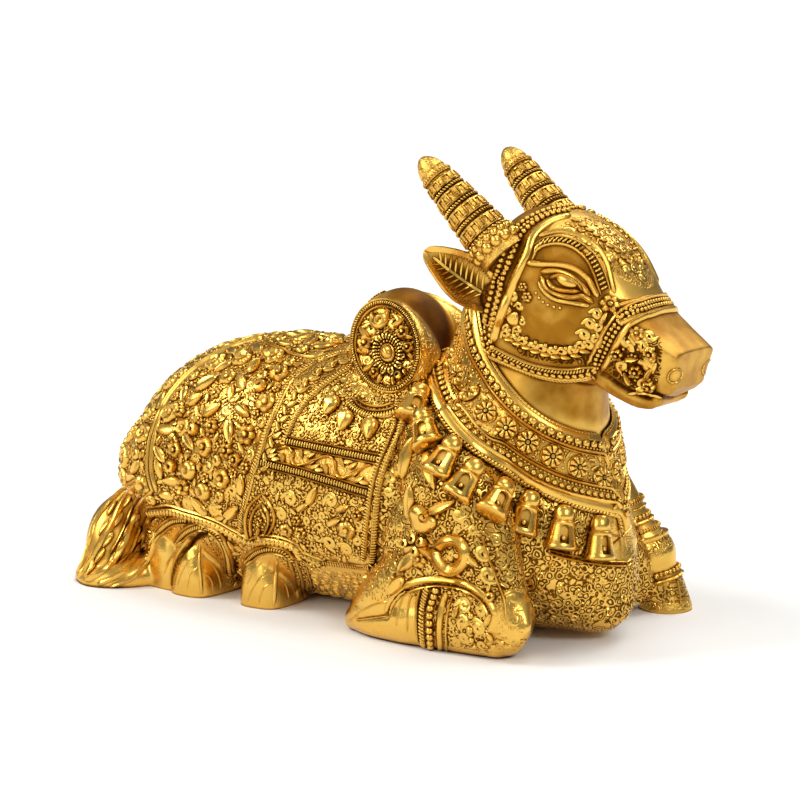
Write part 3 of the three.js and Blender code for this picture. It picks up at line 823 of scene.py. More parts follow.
def thick_disc(rings, long, high, half, rim):
    """An oval disc with flat faces and a half round rim, and how far its points reach ahead, up and out."""
    piece, where, turn, _ = ball(72, rings)
    fall = np.arccos(np.clip(where[:, 2], -1, 1)) / math.pi
    edge = np.clip((fall - 0.25) / 0.5, 0, 1) * math.pi
    flat = np.where(fall < 0.25, fall / 0.25, np.where(fall > 0.75, (1 - fall) / 0.25, 1.0))
    swell = np.where((fall > 0.25) & (fall < 0.75), np.sin(edge) * rim, 0.0)
    out = np.where(fall <= 0.25, half, np.where(fall >= 0.75, -half, np.cos(edge) * half))
    return piece, np.cos(turn) * (flat * long + swell), np.sin(turn) * (flat * high + swell), out


def hump_form():
    rim = 4.2
    disc, ahead, up, out = thick_disc(40, HUMP_LONG / 2 - rim, HUMP_HIGH / 2 - rim, HUMP_WIDE / 2, rim)
    move_points(disc, np.stack((ahead, -out, up), 1) + HUMP)
    skirt = loft([oval(HUMP[0] + 2, 0, HUMP[2] - 2, 7.5, 12), oval(HUMP[0] + 4, 0, HUMP[2] - 10, 9.4, 19, 14),
                  oval(HUMP[0] + 6, 0, HUMP[2] - 22, 13.6, 24, 16)], 32, 20, axis=-Z)
    return [disc, skirt, drum(-1), drum(1)]


# The medal leans out on each side of the hump, its foot on the cloth.
MEDAL_TILT = math.radians(31)
MEDAL = np.array((6.8, 17.4, 85.0))
MEDAL_LONG, MEDAL_HIGH = 11.2, 17.2


def medal_axes(s):
    out = np.array((0, s * math.cos(MEDAL_TILT), math.sin(MEDAL_TILT)))
    rise = unit(np.array((-6.5, -s * 3.8, 6.5)))
    rise = unit(rise - out * (rise @ out))
    return MEDAL * (1, s, 1), out, rise, np.cross(rise, out)


def drum(s):
    """A thick oval disc with a rounded rim, under the medal."""
    middle, out, rise, ahead = medal_axes(s)
    half = 7.0
    piece, u, v, h = thick_disc(24, MEDAL_LONG, MEDAL_HIGH, half, 1.6)
    move_points(piece, middle + np.outer(h - half, out) + np.outer(u, ahead) + np.outer(v, rise))
    return piece


def hind_quarter(s):
    thigh, where, _, _ = ball(48, 32)
    x, y, z = (where * (31, 17, 22)).T
    a = math.radians(-14)
    turned = np.stack((x * math.cos(a) + z * math.sin(a), y, z * math.cos(a) - x * math.sin(a)), 1)
    move_points(thigh, turned + (-63, 21 * s, 41))
    shank = loft([oval(-93, 14 * s, 6, 3, 4), oval(-90, 14 * s, 8, 7, 8), oval(-80, 16 * s, 9, 9, 9),
                  oval(-68, 16 * s, 9, 9.5, 9), oval(-52, 15 * s, 8, 8, 8), oval(-47.5, 15 * s, 6, 3.5, 4)])
    return [thigh, shank]


def toe(start, tip, wide, high):
    start, tip = np.array(start, float), np.array(tip, float)
    rows = []
    for share, w, h in ((0, 1, 1), (0.5, 1, 1), (0.74, 0.97, 0.94), (0.9, 0.86, 0.8), (0.98, 0.64, 0.58),
                        (1.02, 0.34, 0.3)):
        rows.append(oval(*(start + (tip - start) * share), wide * w, high * h, 3, 2.1))
    return loft(rows, 32, 24, side=X)


TOES = [((-72, -14, 0), (-74.5, -30, 0), 8.8, 24.5), ((-60, -14, 0), (-61, -33.5, 0), 8.3, 21.5),
        ((-34, -14, 0), (-33, -32.3, 0), 8.0, 20.5)]


def cushion(where, size):
    piece, round_form, _, _ = ball(24, 16)
    move_points(piece, round_form * size + np.array(where))
    return piece


def shoulder(s, grow=0.0):
    """The upper arm, from the withers down to the bent knee."""
    return loft([oval(32, 24 * s, 62, 13, 13), oval(40, 30 * s, 48, 14, 16), oval(50, 33.5 * s, 33, 10.5, 15),
                 oval(58.6, 34.7 * s, 19, 8.9, 9.2), oval(61.2, 35.4 * s, 9, 7.7, 7.2)], grow=grow)


def folded_foreleg():
    elbow = loft([oval(48, -29, 30, 15, 13), oval(33, -31, 20, 14, 14), oval(19, -32, 10, 11, 11),
                  oval(12, -33, 5.5, 8, 7.5), oval(7, -34, 2.2, 4.5, 3), oval(4.8, -34.5, 1, 1.5, 1.2)])
    shank = loft([
        oval(70.3, -38, 7.5, 1.2, 2.2), oval(69, -37.4, 8.3, 3, 5.5), oval(66.3, -36, 9.2, 5.6, 8.6),
        oval(63, -34.6, 10, 8.4, 10.6), oval(56, -34.2, 10, 9.6, 11), oval(48, -34.6, 9.5, 9.2, 11),
        oval(36, -35.4, 8.5, 8.3, 10), oval(27, -35.8, 8, 8.4, 9.5), oval(15, -35, 6, 7.2, 7.5),
        oval(7, -34, 3.5, 4, 3.5), oval(4, -33.5, 2.5, 1.2, 1.2)], 36, 56)
    return [shoulder(-1), elbow, shank, cushion((41, -30, 22), (22, 13.5, 19)),
            cushion((31, -29, 30), (16, 12, 22))]


def raised_foreleg():
    arm = loft([oval(32, 20, 52, 12, 13), oval(42, 25.5, 49, 10, 12), oval(50, 30, 44.5, 8, 9.5),
                oval(55.5, 33, 39.5, 7, 7.5), oval(58.5, 35, 34, 6, 6)])
    shank = loft([
        oval(53.5, 33, 44.5, 4, 4), oval(56, 34.3, 39.5, 6.4, 6.4), oval(59.8, 36.3, 32, 6.4, 6.4),
        oval(63.4, 38.3, 25, 6.2, 6.2), oval(67.2, 40.5, 17.5, 8.3, 8.3), oval(69.6, 41.5, 11.5, 6.4, 6.4),
        oval(70.6, 42, 9, 6.8, 6.8), oval(72, 42.3, 0.5, 8.4, 8.6), oval(72, 42.3, -1, 8.4, 8.6)], 36, 60)
    brace = loft([oval(56, 21, 30, 12, 12), oval(62, 29, 18, 9.5, 9), oval(66.5, 36, 5, 7, 6)], side=X)
    return [arm, shank, brace, cushion((36, 25, 55), (13, 12, 15))]


def tail_form():
    rope = loft([oval(-91, 2, 58, 4, 3), oval(-97, -5, 44, 4, 4), oval(-96.5, -12, 33, 4.5, 4.5),
                 oval(-94.5, -18, 25, 6, 6), oval(-97.5, -24, 17, 8.5, 8), oval(-96, -29, 9, 9, 8),
                 oval(-99, -34, 4, 6, 5), oval(-104, -36.5, 1.5, 1.5, 1.5)], side=X)
    foot = loft([oval(-82, -25, 2, 6, 8), oval(-88, -31, 2, 8, 6), oval(-95, -35.5, 1, 7, 5),
                 oval(-104, -36.5, 1, 1.5, 1.5)])
    return [rope, foot]


# Lines tooled into the casting, as pixels, with their reach and depth in mm: the step on the folded hoof, the
# gap between the two left toes, the fold of the hem above them, and the swell of knee, chest and hooves.
TOOLED = [
    ([(358, 620), (368, 618), (378, 617), (387, 615)], 0.9, -0.8),
    ([(388, 614), (391, 605), (396, 597), (404, 590)], 1.1, -1.0),
    ([(206, 533), (196, 539), (186, 548), (178, 560), (173, 574), (172, 584)], 1.0, -2.4),
    ([(238, 552), (236, 566), (236, 580)], 1.2, -1.0),
    ([(150, 520), (172, 519), (196, 524), (220, 535), (240, 546)], 1.4, -0.9),
    ([(262, 545), (285, 550), (303, 558), (318, 567)], 1.3, -0.8),
    ([(404, 622), (410, 618)], 5.0, 0.9),
    ([(625, 570), (627, 586), (625, 600), (618, 610)], 8.0, 3.0),
    ([(500, 612), (502, 622), (502, 632)], 3.4, 0.8),
    ([(190, 560), (192, 575)], 4.0, 0.6), ([(262, 568), (262, 580)], 4.5, 0.6),
    ([(171, 540), (165, 552)], 3.5, 0.6)]

# Outlines of pixels on the body: the smooth panel down the chest, and the cross band of the cloth.
CHEST_PANEL = [(603, 514), (634, 520), (636, 563), (608, 560)]
CROSS_BAND = [(285, 446), (385, 466), (378, 486), (265, 468)]
# Where the skin stays smooth, as middles and half sizes of balls: neck, hump, the two hind hooves, the folded
# foreleg, its knee, and the raised foreleg's hoof and shank.
SMOOTH_NECK = (54, 0, 88), (32, 26, 34)
SMOOTH_HUMP = HUMP + (0, 0, 4), (19, 11, 22)
SMOOTH = [SMOOTH_NECK, SMOOTH_HUMP, ((-68, -31, 6), (17, 14, 17)), ((-33, -30, 6), (11, 15, 17)),
          ((14, -35, 6), (28, 20, 17)), ((69, -38, 9), (9, 9, 12)), ((69, 41, 14), (8, 8, 9)),
          ((62, 37, 30), (10, 10, 20))]


def make_body(dress):
    gather_shapes()
    cloth = keep_within(barrel(1.3), slab(CLOTH_REAR + CLOTH_FRONT))
    whole = [barrel(), neck(), cloth, *hump_form(), *hind_quarter(-1), *hind_quarter(1),
             *folded_foreleg(), *raised_foreleg(), *tail_form(), *(toe(*t) for t in TOES)]
    body = fuse(whole, "body", 0.92, 4)
    trim(body, (0, 0, 0), (0, 0, -1))
    cast = tree_of(body)
    for line, reach, depth in TOOLED:
        press(body, drawn(cast, line), reach, depth)
    TREES["body"] = tree_of(body)
    GROUND["spots"], GROUND["outs"] = points(body), points(body, "normal")
    guide = fuse([neck(0.7), barrel(0.7), shoulder(-1, 1.3), shoulder(1, 1.3)], "guide", 1.6, 14)
    TREES["chest"] = tree_of(guide)
    bpy.data.objects.remove(guide, do_unlink=True)
    chase_ground(body)
    return finish_piece(body, chased(dress))


def chase_ground(body):
    """Marks where the skin is chased and where it stays smooth and polished, and where painted shade darkens
    it.
    """
    where = points(body)
    x, y, z = where.T

    def beyond(centre, size):
        return (((where - centre) / size) ** 2).sum(1) - 1
    share = np.clip(np.minimum.reduce([beyond(*part) for part in SMOOTH]) / 0.35, 0, 1)
    flat = near_pixels(where)
    share = share * np.where(within(flat, CHEST_PANEL), 0.1, 1)
    share = share * np.where(within(flat, CROSS_BAND), 0.15, 1)
    to_medal = np.linalg.norm(np.stack((x, np.abs(y), z), 1) - MEDAL, axis=1)
    share = share * np.where(to_medal < 17, 0.3, 1)
    # The tail keeps its own strands, and the soles stay plain.
    share = share * np.clip((z - 1) / 3, 0, 1) * np.clip((x + 88 + 0.6 * (z - 20)) / 4, 0, 1)
    mark(body, "chasing", share)
    # Painted shade on the smooth neck and hump, and a darker tail.
    on_neck, on_hump = (np.clip(-beyond(*part) / 0.3, 0, 1) for part in (SMOOTH_NECK, SMOOTH_HUMP))
    on_tail = np.clip((-86 - x) / 5, 0, 1)
    # The hump's painted shade is heavy towards the neck and light at its rear, which faces the key lamp.
    on_hump = on_hump * np.interp(x, (-8, 10), (0.35, 1.3))
    film_and_shade = np.maximum.reduce([on_neck * 0.7, on_hump, on_tail * 0.45])
    # Painted shade darkens the bottom of every groove.
    for line, reach, depth in TOOLED:
        if depth < 0:
            near = apart(where, drawn(TREES["body"], line), reach)
            film_and_shade = np.maximum(film_and_shade, min(1.6, -depth) * np.exp(-near / (reach * 0.9) ** 2))
    mark(body, "film_and_shade", film_and_shade)


def mark(piece, name, values):
    """Keeps a number for every point of a piece, for its material to read."""
    layer = piece.data.attributes.new(name, "FLOAT", "POINT")
    layer.data.foreach_set("value", np.asarray(values, np.float32))


# Where the head is chased, as outlines of pixels: forehead, muzzle, cheek corners and foot, and behind the
# strap.
CHASED_FIELDS = [
    [(560, 226), (574, 217), (592, 217), (616, 226), (634, 244), (648, 268), (654, 288), (640, 287),
    (618, 276),
     (600, 258), (578, 242)],
    [(612, 350), (626, 334), (648, 328), (662, 344), (660, 372), (655, 392), (630, 388), (608, 372)],
    [(502, 330), (516, 334), (540, 344), (575, 345), (592, 335), (600, 350), (590, 364), (560, 364),
    (520, 355)],
    [(506, 290), (522, 292), (520, 318), (506, 328)],
    [(470, 285), (488, 285), (486, 330), (470, 320)]]
# The forehead, lighter under less painted shade, as light falls on it from above.
FOREHEAD = [(545, 234), (562, 214), (590, 204), (618, 214), (645, 244), (662, 280), (664, 302), (640, 300),
    (612, 298), (605, 280), (596, 262), (580, 247), (560, 238)]
# Lines tooled into both sides of the head, with their reach and depth: the socket above and below the eye,
# the swell of the cheek, the mouth, the fold that runs back from it, and the jaw below the fold.
HEAD_TOOLED = [
    ([(545, 256), (562, 255), (578, 262), (590, 274)], 2.2, -0.7),
    ([(548, 292), (562, 303), (580, 305)], 2.0, -0.7),
    ([(540, 325), (560, 328)], 6.0, 0.9),
    ([(641, 385), (648, 391), (656, 395), (664, 398), (672, 399)], 0.75, -1.3),
    ([(602, 374), (612, 380), (624, 388), (636, 394), (650, 399)], 0.8, -1.0),
    ([(612, 386), (628, 395), (645, 402), (660, 403)], 1.6, 0.7)]


def make_head(dress):
    roots = [cushion(spot, size) for s in (-1, 1) for spot, size in (
        ((49.0, 17.2 * s, 115.5), (7.4, 7.2, 6.4)), ((49.0, 18.5 * s, 101.5), (7.0, 6.0, 7.0)))]
    head = fuse([head_form(), cheeks(), *roots], "head", 0.5, 4)
    tree = tree_of(head)
    for s in (1, -1):
        for line, reach, depth in HEAD_TOOLED:
            press(head, drawn(tree, line) * (1, s, 1), reach, depth)
    TREES["head"] = tree_of(head)
    where = points(head)
    along = (where - HEAD_ORIGIN) @ HEAD_AXIS
    flat = near_pixels(where)
    # Painted shade darkens the head. It is less towards the muzzle and least on the forehead, where light
    # falls from above.
    lit_forehead = within(flat, FOREHEAD)
    mark(head, "film_and_shade", np.where(lit_forehead, 0.4, np.interp(along, (0, 40, 50), (1.0, 0.95, 0.85))))
    chased_part = np.logical_or.reduce([within(flat, outline) for outline in CHASED_FIELDS])
    mark(head, "chasing", np.where(lit_forehead, 0.5, 0.85) * chased_part)
    return finish_piece(head, polished(dress))


# Collar and bells

COLLAR_LOW = [(421, 325), (424, 350), (428, 381), (437, 407), (454, 432), (475, 450), (502, 467), (532, 486),
              (562, 500), (592, 509), (618, 514)]
COLLAR_TOP = [(477, 312), (481, 335), (489, 358), (503, 381), (523, 404), (547, 421), (573, 432), (592, 436),
              (601, 437)]


def collar_edges():
    """The edge lines of the collar, from the crest behind to the middle of the chest in front."""
    tree = TREES["chest"]
    lines = []
    for pixels, x_back, z_front in ((COLLAR_LOW, 13, 33), (COLLAR_TOP, 33, 58)):
        line = drawn(tree, pixels)
        behind = np.array(tree.ray_cast(Vector((x_back, 0, 200)), Vector((0, 0, -1)))[0])
        ahead = np.array(tree.ray_cast(Vector((200, 0, z_front)), Vector((-1, 0, 0)))[0])
        whole = np.vstack((behind, line[line[:, 1] < -1.5], ahead))
        lines.append(spaced(whole, np.linalg.norm(np.diff(whole, axis=0), axis=1).sum() / 150)[0])
    return lines


COLLAR_ROWS = np.linspace(-0.01, 1.01, 22)
COLLAR_GRID = []


def collar_line(share):
    """A line round the near half of the collar at a share of its height."""
    near = np.array(COLLAR_GRID)[:, :COLLAR_GRID[0].shape[0] // 2 + 1]
    at = np.interp(share, COLLAR_ROWS, np.arange(len(near)))
    low = min(int(at), len(near) - 2)
    return near[low] + (near[low + 1] - near[low]) * (at - low)


def make_collar_skin(dress):
    """The band of the collar: its outer face follows the neck and chest from one edge line to the other."""
    low, top = collar_edges()
    count = min(len(low), len(top))
    rows = []
    for share in COLLAR_ROWS:
        places = low[:count] + (top[:count] - low[:count]) * share
        line = np.array([snap(TREES["chest"], place)[0] for place in places])
        line[0, 1] = line[-1, 1] = 0
        rows.append(np.vstack((line, (line * (1, -1, 1))[1:-1][::-1])))
    # Smoothed to and fro, so that the band runs straight over the crease between neck and arm.
    grid = np.array(rows)
    for step in (0.5, -0.51) * 25:
        around = (np.roll(grid, 1, 1) + np.roll(grid, -1, 1)) / 2 - grid
        across = np.zeros_like(grid)
        across[1:-1] = (grid[2:] + grid[:-2]) / 2 - grid[1:-1]
        grid = grid + (around + across) / 2 * step
    rows = list(grid)
    COLLAR_GRID[:] = rows
    count = len(rows[0])
    flat = np.vstack(rows)
    out = np.array([snap(TREES["chest"], spot)[1] for spot in flat])
    for _ in range(6):
        grid = out.reshape(len(rows), count, 3)
        out = unit(grid + np.roll(grid, 1, 1) + np.roll(grid, -1, 1)).reshape(-1, 3)
    lift = np.repeat(np.where(np.isin(np.arange(len(rows)), (0, len(rows) - 1)), 0.9, 1.5), count)
    verts = np.vstack((flat + out * lift[:, None], flat - out * 2.0))
    faces, n = [], len(flat)
    for i in range(len(rows) - 1):
        for j in range(count):
            k = (j + 1) % count
            a, b, c, d = i * count + j, i * count + k, (i + 1) * count + k, (i + 1) * count + j
            faces += [(a, b, c, d), (n + d, n + c, n + b, n + a)]
    last = (len(rows) - 1) * count
    for j in range(count):
        k = (j + 1) % count
        faces += [(j, n + j, n + k, k), (last + k, n + last + k, n + last + j, last + j)]
    band = Relief(None)
    band.add(verts, faces)
    piece = band.solid("collar_band")
    TREES["collar"] = tree_of(piece)
    return finish_piece(piece, chased(dress), 50)


# Middle and crown of each bell.
BELLS = [((414, 406), (420, 392)), ((427, 431), (434, 417)), ((446, 459), (456, 444)),
    ((466, 481), (477, 466)), ((496, 500), (503, 483)), ((526, 514), (531, 496)), ((561, 529), (563, 509)),
    ((597, 539), (597, 519))]
ROSETTE_SPOTS = [(451, 358), (458, 375), (469, 393), (486, 412), (507, 428), (528, 442), (552, 456),
    (578, 467), (602, 478)]
# The raised lines round the collar: share of its height, width and height.
COLLAR_RIDGES = [(1.0, 0.8, 0.8), (0.94, 0.6, 0.6), (0.78, 1.2, 0.9), (0.735, 0.8, 0.6), (0.36, 0.8, 0.7),
                 (0.32, 1.1, 0.9), (0.12, 1.5, 0.9), (0.0, 0.9, 0.8)]


def make_collar(dress):
    relief = Relief(TREES["collar"])
    for share, wide, high in COLLAR_RIDGES:
        relief.ridge(collar_line(share), wide, high)
    relief.row("bead", collar_line(0.965), 1.25, (0.55, 0.55, 0.6), lift=0.1)
    relief.row("block", collar_line(0.885), 2.9, (1.15, 1.0, 0.7), lift=0.3)
    relief.row("bead", collar_line(0.825), 1.25, (0.5, 0.5, 0.55), lift=0.1)
    relief.row("bead", collar_line(0.275), 1.25, (0.45, 0.45, 0.5), lift=0.1)
    # Low down runs a row of blocks, which turns into beads towards the chest.
    low_row = collar_line(0.2)
    turn = int(len(low_row) * 0.6)
    relief.row("block", low_row[:turn], 2.3, (0.8, 1.05, 0.8), lift=0.2)
    relief.row("bead", low_row[turn:], 2.2, (0.95, 0.95, 0.95), lift=0.15)
    relief.row("collar_strand", collar_line(0.06), 1.15, (1.25, 1.25, 0.8), lift=0.25)
    random = np.random.default_rng(11)
    taken, half = [], dress.rosette_width / MM / 2
    for pixel in ROSETTE_SPOTS:
        spot = relief.put("rosette", pixel, (half, half, 1.5), lift=0.1, wrap=False)
        relief.put("rim", pixel, (half + 0.4, half + 0.4, 0.5), wrap=False)
        taken.append((spot, half + 0.6))
    # Granules and small leaves fill the field between the rosettes.
    for share in np.linspace(0.4, 0.71, 8):
        spots, tangents = spaced(collar_line(share), 1.5)
        for spot, tangent in zip(spots, tangents):
            spot = spot + random.normal(0, 0.3, 3)
            spot, normal = snap(relief.tree, spot)
            if any(np.linalg.norm(spot - other) < reach for other, reach in taken):
                continue
            if random.random() < 0.12:
                relief.lay("small_leaf", spot, normal, random.normal(size=3), (1.5, 1.5, 0.7))
                taken.append((spot, 1.2))
            else:
                relief.lay("granule", spot, normal, tangent, (0.55, 0.55, 0.45))
    relief.mirror()
    return relief.piece("collar", chased(dress))


def make_bells(dress):
    relief = Relief(TREES["body"])
    size = np.array((0.5, 0.454, 0.389)) * dress.bell_height / MM
    for n, (middle, crown) in enumerate(BELLS):
        spot, normal = seen(relief.tree, *middle)
        way = seen(relief.tree, *crown)[0] - spot
        relief.lay("bell", spot, normal, way, size, lift=1.7)
        # The far side has its bells along the flank only.
        if n < 4:
            spot, normal = snap(relief.tree, spot * (1, -1, 1))
            relief.lay("bell", spot, normal, way * (1, -1, 1), size, lift=1.7)
    return relief.piece("bells", polished(dress), 40)


# Bridle and face

STRAP_BEADS = [ [(567, 207), (547, 211), (527, 220), (513, 233), (504, 252), (497, 273), (491, 297),
    (486, 318), (484, 338), (487, 350)],
    [(568, 211), (548, 216), (532, 225), (520, 238), (512, 254), (505, 273), (499, 295), (494, 317),
    (491, 337), (493, 347)]]
STRAP_EDGE = [(570, 215), (550, 221), (534, 234), (527, 252), (517, 273), (508, 297), (499, 320), (492, 342)]
JAW_STRAP = [(489, 352), (510, 362), (533, 371), (560, 376), (583, 375), (594, 371)]
NOSE_BAND = [(597, 367), (606, 350), (616, 332), (628, 318), (645, 309), (660, 305), (674, 304)]


def make_bridle(dress):
    relief = Relief(TREES["head"])
    for line in STRAP_BEADS:
        relief.row("bead", line, 1.75, (0.85, 0.9, 0.9), lift=0.35)
    relief.row("bead", STRAP_BEADS[0], 1.5, (0.7, 0.7, 0.7), lift=0.2, shift=1.9)
    relief.ridge(STRAP_EDGE, 3.0, 1.0)
    relief.ridge(JAW_STRAP, 1.0, 0.8, shift=2.4)
    relief.row("head_strand", JAW_STRAP, 1.0, (1.0, 1.0, 0.7), lift=0.2, shift=1.5)
    relief.row("block", JAW_STRAP, 2.1, (0.8, 0.75, 0.7), lift=0.15)
    relief.ridge(JAW_STRAP, 0.9, 0.7, shift=-1.2)
    relief.row("head_strand", JAW_STRAP, 1.0, (1.0, 1.0, 0.7), lift=0.2, shift=-2.2, flip=-1)
    relief.ridge(NOSE_BAND, 1.5, 0.9, shift=3.0)
    for shift in (1.5, 0.0):
        relief.row("bead", NOSE_BAND, 1.45, (0.72, 0.72, 0.75), lift=0.2, shift=shift)
    relief.ridge(NOSE_BAND, 2.3, 1.0, shift=-1.9)
    relief.mirror()
    return relief.piece("bridle", chased(dress))


BROW_INNER = [(532, 261), (537, 250), (547, 245), (560, 244), (573, 248), (585, 258), (593, 272), (598, 287),
              (601, 295)]
BROW_OUTER = [(534, 245), (547, 238), (562, 237), (578, 242), (593, 253), (603, 270), (610, 290)]
BROW_RIM = [(539, 236), (560, 231), (580, 236), (597, 247), (607, 263), (612, 283), (615, 293)]
UPPER_LIDS = [[(527, 263), (543, 264), (560, 265), (575, 269), (587, 278), (593, 288), (598, 297)],
              [(541, 272), (555, 271), (570, 276), (582, 286), (590, 296)],
              [(550, 278), (560, 275), (570, 278), (578, 284), (583, 291)]]
LOWER_LIDS = [[(547, 279), (552, 286), (561, 290), (571, 291), (580, 291)],
              [(541, 276), (546, 287), (557, 294), (571, 297), (583, 296), (593, 303)],
              [(538, 282), (546, 293), (557, 300), (573, 303), (589, 306)]]
# Curls by the eye and in front of the cheek, as pixel, pixel of the tip and size.
EYE_CURLS = [(513, 297, 507, 305, 2.0), (519, 307, 513, 303, 1.6), (507, 312, 503, 320, 1.8),
    (517, 330, 508, 332, 1.8), (506, 328, 500, 335, 1.6), (522, 322, 525, 313, 1.4)]
CORNER_CURLS = [(597, 314, 590, 309, 2.0), (590, 324, 582, 320, 2.1), (584, 335, 577, 330, 2.1),
    (589, 345, 582, 342, 1.9), (598, 327, 604, 320, 1.7), (595, 338, 601, 331, 1.7)]
EYE_DOTS = [(536, 293), (539, 298), (543, 302), (548, 305), (554, 307), (560, 308)]
CHEEK_FOOT = [(506, 337), (514, 341), (523, 345), (532, 349), (542, 352), (552, 354), (562, 355), (572, 353),
              (581, 349)]
MUZZLE_SPOTS = [(617, 354), (622, 366), (627, 344), (632, 358), (636, 371), (643, 347), (647, 361),
    (648, 374), (650, 353), (649, 366), (641, 384), (628, 378), (649, 386), (636, 336)]
# Curls of the forehead, as pixel and pixel of the tip, larger and smaller, and the leaves between them.
FOREHEAD_CURLS = [(569, 231, 562, 228), (583, 238, 576, 233), (596, 247, 589, 241), (610, 257, 603, 250),
    (627, 269, 620, 262), (642, 278, 636, 270)]
SMALL_CURLS = [(613, 233, 608, 227), (621, 240, 616, 233), (629, 249, 624, 242), (636, 259, 632, 251),
    (641, 268, 638, 260), (600, 227, 594, 223)]
FOREHEAD_CHAIN = [(574, 223), (581, 228), (588, 233), (595, 238), (602, 243), (609, 249), (616, 254),
    (622, 260)]


def make_face(dress):
    relief = Relief(TREES["head"])
    relief.ridge(BROW_RIM, 1.7, 0.9)
    relief.ridge(BROW_INNER, 1.0, 0.8)
    relief.ridge(BROW_OUTER, 0.8, 0.7)
    # Ribs of the brow stand between its two edges.
    inner, outer = (spaced(drawn(relief.tree, line), 1.35)[0] for line in (BROW_INNER, BROW_OUTER))
    count = min(len(inner), len(outer))
    for i in range(1, count - 1):
        a, b = (at_share(line, i / (count - 1)) for line in (inner, outer))
        spot, normal = snap(relief.tree, (a + b) / 2)
        relief.lay("bead", spot, normal, b - a, (np.linalg.norm(b - a) * 0.45, 0.42, 0.8), lift=0.1)
    # Eyeball and the lids that fold over it.
    relief.put("eyeball", (567, 281), (3.3, 1.7, 1.3), (582, 288), wrap=False)
    for lids, widths, heights in ((UPPER_LIDS, (1.9, 1.7, 1.3), (0.9, 1.1, 1.4)),
                                  (LOWER_LIDS, (1.4, 1.7, 1.5), (1.3, 1.0, 0.6))):
        for line, wide, high in zip(lids, widths, heights):
            relief.ridge(line, wide, high, pitch=0.7)
    # Flowers, curls and dots behind and below the eye.
    relief.put("flower", (523, 287), (1.5, 1.5, 0.9))
    relief.put("flower", (527, 297), (1.7, 1.7, 1.0))
    for u, v, tip_u, tip_v, size in EYE_CURLS:
        relief.put("face_curl", (u, v), (size, size * 0.9, 1.3), (tip_u, tip_v))
    relief.put("drop", (514, 318), (2.2, 2.8, 1.3), (519, 308))
    for pixel in EYE_DOTS:
        relief.put("bead", pixel, (0.5, 0.5, 0.4))
    # A raised foliate border runs along the foot of the cheek.
    for i, (u, v) in enumerate(CHEEK_FOOT):
        relief.put("face_curl", (u, v - 3), (1.9, 1.7, 1.5), (u + (7 if i % 2 else -7), v - 2), 0.2)
        relief.put("leaf", (u + 4, v + 2), (1.7, 1.6, 1.1), (u + 10, v + 3), 0.1)
        relief.put("bead", (u + 4, v - 7), (0.7, 0.7, 0.9), None, 0.1)
    # The corner in front of the cheek: a large flower with curls below it.
    relief.put("flower", (610, 304), (3.2, 2.8, 1.6))
    for u, v, tip_u, tip_v, size in CORNER_CURLS:
        relief.put("face_curl", (u, v), (size, size * 0.9, 1.4), (tip_u, tip_v), 0.2)
    relief.put("leaf", (604, 318), (2.0, 2.0, 1.2), (608, 310), 0.2)
    relief.put("leaf", (600, 343), (2.0, 2.0, 1.2), (604, 335), 0.2)
    # Carved patch on the side of the muzzle.
    random = np.random.default_rng(5)
    for i, (u, v) in enumerate(MUZZLE_SPOTS):
        name = ("flower", "face_curl", "wave", "leaf")[i % 4]
        tip = u + 6 * math.cos(i * 2.1), v + 6 * math.sin(i * 2.1)
        relief.put(name, (u, v), (2.2, 2.0, 1.6), tip, 0.3)
        for _ in range(6):
            du, dv = random.uniform(-6, 6, 2)
            relief.put("bead", (u + du, v + dv), (0.5, 0.5, 0.6), None, 0.1)
    # Mouth line.
    relief.ridge([(627, 394), (640, 393), (652, 395), (662, 398)], 1.2, 0.6)
    # On the forehead a chain of paired leaves runs down between two rows of curls.
    for u, v, tip_u, tip_v in FOREHEAD_CURLS:
        relief.put("face_curl", (u, v), (2.2, 2.0, 1.2), (tip_u, tip_v), 0.1)
    for u, v in FOREHEAD_CHAIN:
        relief.put("leaf", (u + 1.5, v - 2.5), (1.3, 1.4, 0.8), (u + 7, v - 1), 0.1)
        relief.put("leaf", (u - 1.5, v + 2.5), (1.3, 1.4, 0.8), (u + 1, v + 8), 0.1)
    relief.put("flower", (628, 259), (1.6, 1.6, 0.9))
    for u, v, tip_u, tip_v in SMALL_CURLS:
        relief.put("face_curl", (u, v), (1.5, 1.3, 1.0), (tip_u, tip_v), 0.1)
    # The rim of the nostril, a leaning oval.
    nostril = []
    for a in np.linspace(0, 2 * math.pi, 17):
        ahead, up = 8 * math.cos(a), 6 * math.sin(a)
        nostril.append((675 + ahead * 0.75 + up * 0.66, 376 - ahead * 0.66 + up * 0.75))
    relief.ridge(drawn(relief.tree, nostril, 0.8), 0.6, 0.35, pitch=0.6)
    relief.mirror()
    for u, v, name in ((637, 334, "flower"), (649, 336, "face_curl")):
        relief.put(name, (u, v), (2.4, 2.2, 1.3), (u + 6, v + 3), 0.2)
    return relief.piece("face_chasing", chased(dress))


# Horns and ears

HORN_LENGTH, HORN_WIDE = 34.5, 7.3
# Where each band of a horn starts and ends, in mm from its root.
HORN_BANDS = ((3.6, 8.6), (8.6, 9.8), (9.8, 14.9), (14.9, 16.0), (16.0, 20.8), (20.8, 21.8), (21.8, 25.6),
              (25.6, 28.4))


def horn_reach(h):
    """Half width of a horn at a distance from its root, without its bands and tip."""
    return HORN_WIDE * (1 - 0.5 * (np.clip(h, 0, None) / HORN_LENGTH) ** 1.1)


